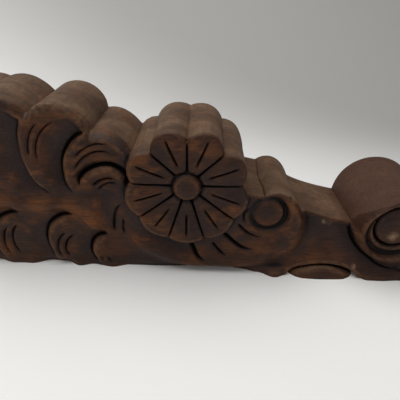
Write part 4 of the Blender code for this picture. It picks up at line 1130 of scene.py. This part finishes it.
def stained_wood():
    """Dark stained wood, orange brown where it is worn, painted near black shade in the cuts, stain with
    painted shade in the hollows, faded on top, and lighter with painted light on upward faces, ridges and the
    volute's eye.
    """
    n = Nodes("stained_wood_carved")
    near, wide, band, torn = (n.read(name) for name in ("near", "wide", "band", "torn"))
    bare_and_highlight, tinted = n.read("bare_and_highlight"), n.read("tint")
    fibre = n.noise((45.0, 900.0, 900.0), 5.0, 0.62)
    pores = n.noise((160.0, 2600.0, 2600.0), 2.0, 0.5)
    blotch = n.noise((26.0, 40.0, 40.0), 4.0, 0.6, 0.3)
    patch = n.noise((60.0, 80.0, 100.0), 4.0, 0.6, 0.3)
    speck = n.noise((700.0, 700.0, 700.0), 3.0, 0.6)
    sawn = n.noise((420.0, 14.0, 420.0), 3.0, 0.6)
    dust = n.noise((230.0, 160.0, 230.0), 5.0, 0.7)

    place = n.add("ShaderNodeSeparateXYZ", {0: n.add("ShaderNodeTexCoord").outputs["Object"]})
    along, height = place.outputs["X"], place.outputs["Z"]
    colour = n.mix(n.span(blotch, 0.40, 0.70), STAIN, STAIN_LIGHT)
    # The hollows darken, plum in the shallow ones and darker in the deep ones: partly stain lying in them,
    # partly painted shade.
    colour = n.mix(n.span(wide, 0.0, 1.6, 0.0, 0.75), colour, PLUM_STAIN_AND_SHADE)
    colour = n.mix(n.span(wide, 1.2, 4.0, 0.0, 0.85), colour, DARK_STAIN_AND_SHADE)
    high = n.times(n.span(wide, 1.6, -1.2), n.span(wide, -7.0, -2.5, 0.45, 1.0))
    worn = n.times(
        high, n.span(patch, 0.44, 0.66), n.span(height, 0.005, 0.035, 0.30, 0.62),
        n.span(along, 0.115, 0.145, 1.0, 0.45), n.span(tinted, -0.4, 0.1, 0.25, 1.0),
    )
    spots = n.times(n.span(tinted, 0.0, 0.9), n.span(patch, 0.34, 0.58, 0.15, 0.8))
    colour = n.mix(n.maths("MAXIMUM", worn, spots), colour, WORN)
    # Spots with tint below 0 darken: partly a darker stain, partly painted shade on the flower's lower
    # petals, the ball and the pellet.
    colour = n.mix(n.span(tinted, 0.0, -0.8, 0.0, 0.7), colour, DARK_STAIN_AND_SHADE)

    band = n.span(band, 0.05, 0.45)
    facing = n.add("ShaderNodeNewGeometry").outputs["Normal"]
    up = n.add("ShaderNodeSeparateXYZ", {0: facing}).outputs["Z"]
    faded = n.mix(n.span(blotch, 0.35, 0.65), FADED_DARK, FADED)
    faded = n.mix(n.span(sawn, 0.30, 0.75, 0.0, 0.45), faded, FADED_DARK)
    faded = n.mix(n.span(dust, 0.45, 0.75, 0.0, 0.35), faded, PALE_WOOD_AND_HIGHLIGHT)
    faded = n.mix(n.span(patch, 0.48, 0.70, 0.0, 0.30), faded, WORN)
    faded = n.mix(n.span(along, 0.128, 0.142, 0.0, 0.80), faded, REDDISH)
    # Painted top light with some dust: the carving's upward faces take the lighter, greyer top colour.
    level = n.span(up, 0.62, 1.0, 0.0, 0.6)
    up_light_and_dust = n.times(level, n.span(near, 0.35, -0.1), n.span(along, 0.125, 0.145, 0.85, 0.0))
    colour = n.mix(n.span(along, 0.128, 0.150, 0.0, 0.25), colour, DARK_STAIN_AND_SHADE)
    colour = n.mix(n.maths("MAXIMUM", up_light_and_dust, n.times(band, 0.88)), colour, faded)
    colour = n.mix(n.times(torn, n.span(dust, 0.35, 0.7, 0.15, 0.7)), colour, PALE_WOOD_AND_HIGHLIGHT)

    grain = n.mix(n.span(fibre, 0.3, 0.7), (0.68, 0.635, 0.60), (1.12, 1.06, 1.00))
    colour = n.mix(1.0, colour, grain, "MULTIPLY")
    colour = n.mix(n.span(pores, 0.60, 0.72, 0.0, 0.40), colour, PORE_AND_CUT_SHADE)
    # Bare wood where knocked or rubbed, and a painted highlight on the volute's eye.
    colour = n.mix(n.times(bare_and_highlight, n.span(dust, 0.35, 0.60)), colour, PALE_WOOD_AND_HIGHLIGHT)
    # Painted shade: spots lying below their close surroundings (the cuts, grooves and creases, and the band's
    # valleys and crack) darken to near black.
    colour = n.mix(n.span(near, 0.20, 0.65, 0.0, 0.95), colour, PORE_AND_CUT_SHADE)
    # Lighter along ridges and edges: worn wood, and a painted highlight along the ridges.
    rubbed_and_highlit = n.times(n.span(near, -0.15, -0.7), n.span(dust, 0.35, 0.65, 0.05, 0.4))
    colour = n.mix(rubbed_and_highlit, colour, n.mix(0.5, WORN, FADED))
    n.put(n.shader.inputs["Base Color"], colour)
    n.shader.inputs["Specular IOR Level"].default_value = SHINE

    gloss = n.span(n.maths("ADD", blotch, n.times(speck, 0.3)), 0.45, 0.85, 0.42, 0.62)
    n.put(n.shader.inputs["Roughness"], n.maths("MAXIMUM", gloss, n.times(band, 0.66)))
    parts = n.times(fibre, 0.8), n.times(pores, -0.3), n.times(speck, 0.25), n.times(sawn, band, 0.8)
    relief = n.maths("ADD", *parts)
    bump = n.add("ShaderNodeBump", {"Height": relief, "Strength": 0.6, "Distance": 0.0005})
    n.put(n.shader.inputs["Normal"], bump.outputs["Normal"])
    return n.material


def camera():
    """Stands where the photograph was taken: in front, looking down, leaning a little."""
    pitch, roll = radians(CAMERA_PITCH), radians(CAMERA_ROLL)
    ahead = Vector((0.0, cos(pitch), -sin(pitch)))
    level = Vector((1.0, 0.0, 0.0))
    above = Vector((0.0, sin(pitch), cos(pitch)))
    right = level * cos(roll) + above * sin(roll)
    up = above * cos(roll) - level * sin(roll)
    lens = bpy.data.cameras.new("photo_camera")
    lens.lens = CAMERA_LENS
    lens.sensor_width = 36.0
    seat = bpy.data.objects.new("photo_camera", lens)
    turn = Matrix((right, up, -ahead)).transposed().to_4x4()
    place = Matrix.Translation((CAMERA_X, -MM * THICKNESS / 2 - CAMERA_AWAY, CAMERA_HEIGHT))
    seat.matrix_world = place @ turn
    bpy.context.scene.collection.objects.link(seat)
    bpy.context.scene.camera = seat


def backdrop():
    """A pale floor that sweeps up behind the corbel into a greyer backdrop, with painted shade darkening it
    to the right.
    """
    near, bend, far, half, high = -3.0, 0.45, 0.75, 3.0, 1.8
    turn = np.linspace(0.0, np.pi / 2, 24)
    sweep = [(far - bend + bend * sin(a), bend - bend * cos(a)) for a in turn]
    profile = [(near, 0.0)] + sweep + [(far, high)]
    verts = [(x, y, z) for y, z in profile for x in (-half, half)]
    faces = [(2 * k, 2 * k + 1, 2 * k + 3, 2 * k + 2) for k in range(len(profile) - 1)]
    mesh = bpy.data.meshes.new("floor")
    mesh.from_pydata(verts, [], faces)
    mesh.shade_smooth()
    n = Nodes("pale_floor")
    place = n.add("ShaderNodeSeparateXYZ", {0: n.add("ShaderNodeTexCoord").outputs["Object"]})
    # The floor greys towards the backdrop, and painted shade darkens it further to the right.
    lean = n.maths("ADD", place.outputs["Y"], n.times(place.outputs["X"], 0.55))
    backdrop_tone_and_shade = n.mix(n.span(lean, 0.08, 0.60), (0.93, 0.93, 0.915), (0.40, 0.395, 0.385))
    n.put(n.shader.inputs["Base Color"], backdrop_tone_and_shade)
    n.shader.inputs["Roughness"].default_value = 0.7
    mesh.materials.append(n.material)
    floor = bpy.data.objects.new("floor", mesh)
    bpy.context.scene.collection.objects.link(floor)
    floor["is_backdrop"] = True


def studio():
    """One broad soft light above and to the left, a weak one in front, and a little light all round."""
    world = bpy.data.worlds.new("studio")
    world.use_nodes = True
    sky = world.node_tree.nodes["Background"]
    sky.inputs["Color"].default_value = (1.0, 0.97, 0.94, 1.0)
    sky.inputs["Strength"].default_value = 0.325
    bpy.context.scene.world = world
    for name, place, aim, size, power in (
        ("softbox", (-0.26, 0.02, 1.10), (0.0, -0.05, 0.0), 1.5, 12.6),
        ("front_fill", (-0.20, -1.40, 0.90), (0.0, 0.0, 0.05), 1.2, 1.45),
    ):
        lamp = bpy.data.lights.new(name, "AREA")
        lamp.size = size
        lamp.energy = power
        seat = bpy.data.objects.new(name, lamp)
        seat.location = place
        seat.rotation_euler = (Vector(aim) - Vector(place)).to_track_quat("-Z", "Y").to_euler()
        bpy.context.scene.collection.objects.link(seat)
    bpy.context.scene.view_settings.view_transform = "Standard"


camera()
backdrop()
studio()
carved = carved_block()
carved.data.materials.append(stained_wood())
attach(carved, "root")
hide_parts("corbel")

boxes = {"cad": cad_box, "visual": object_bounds()}
{name: [[float(c) for c in corner] for corner in box] for name, box in boxes.items()}
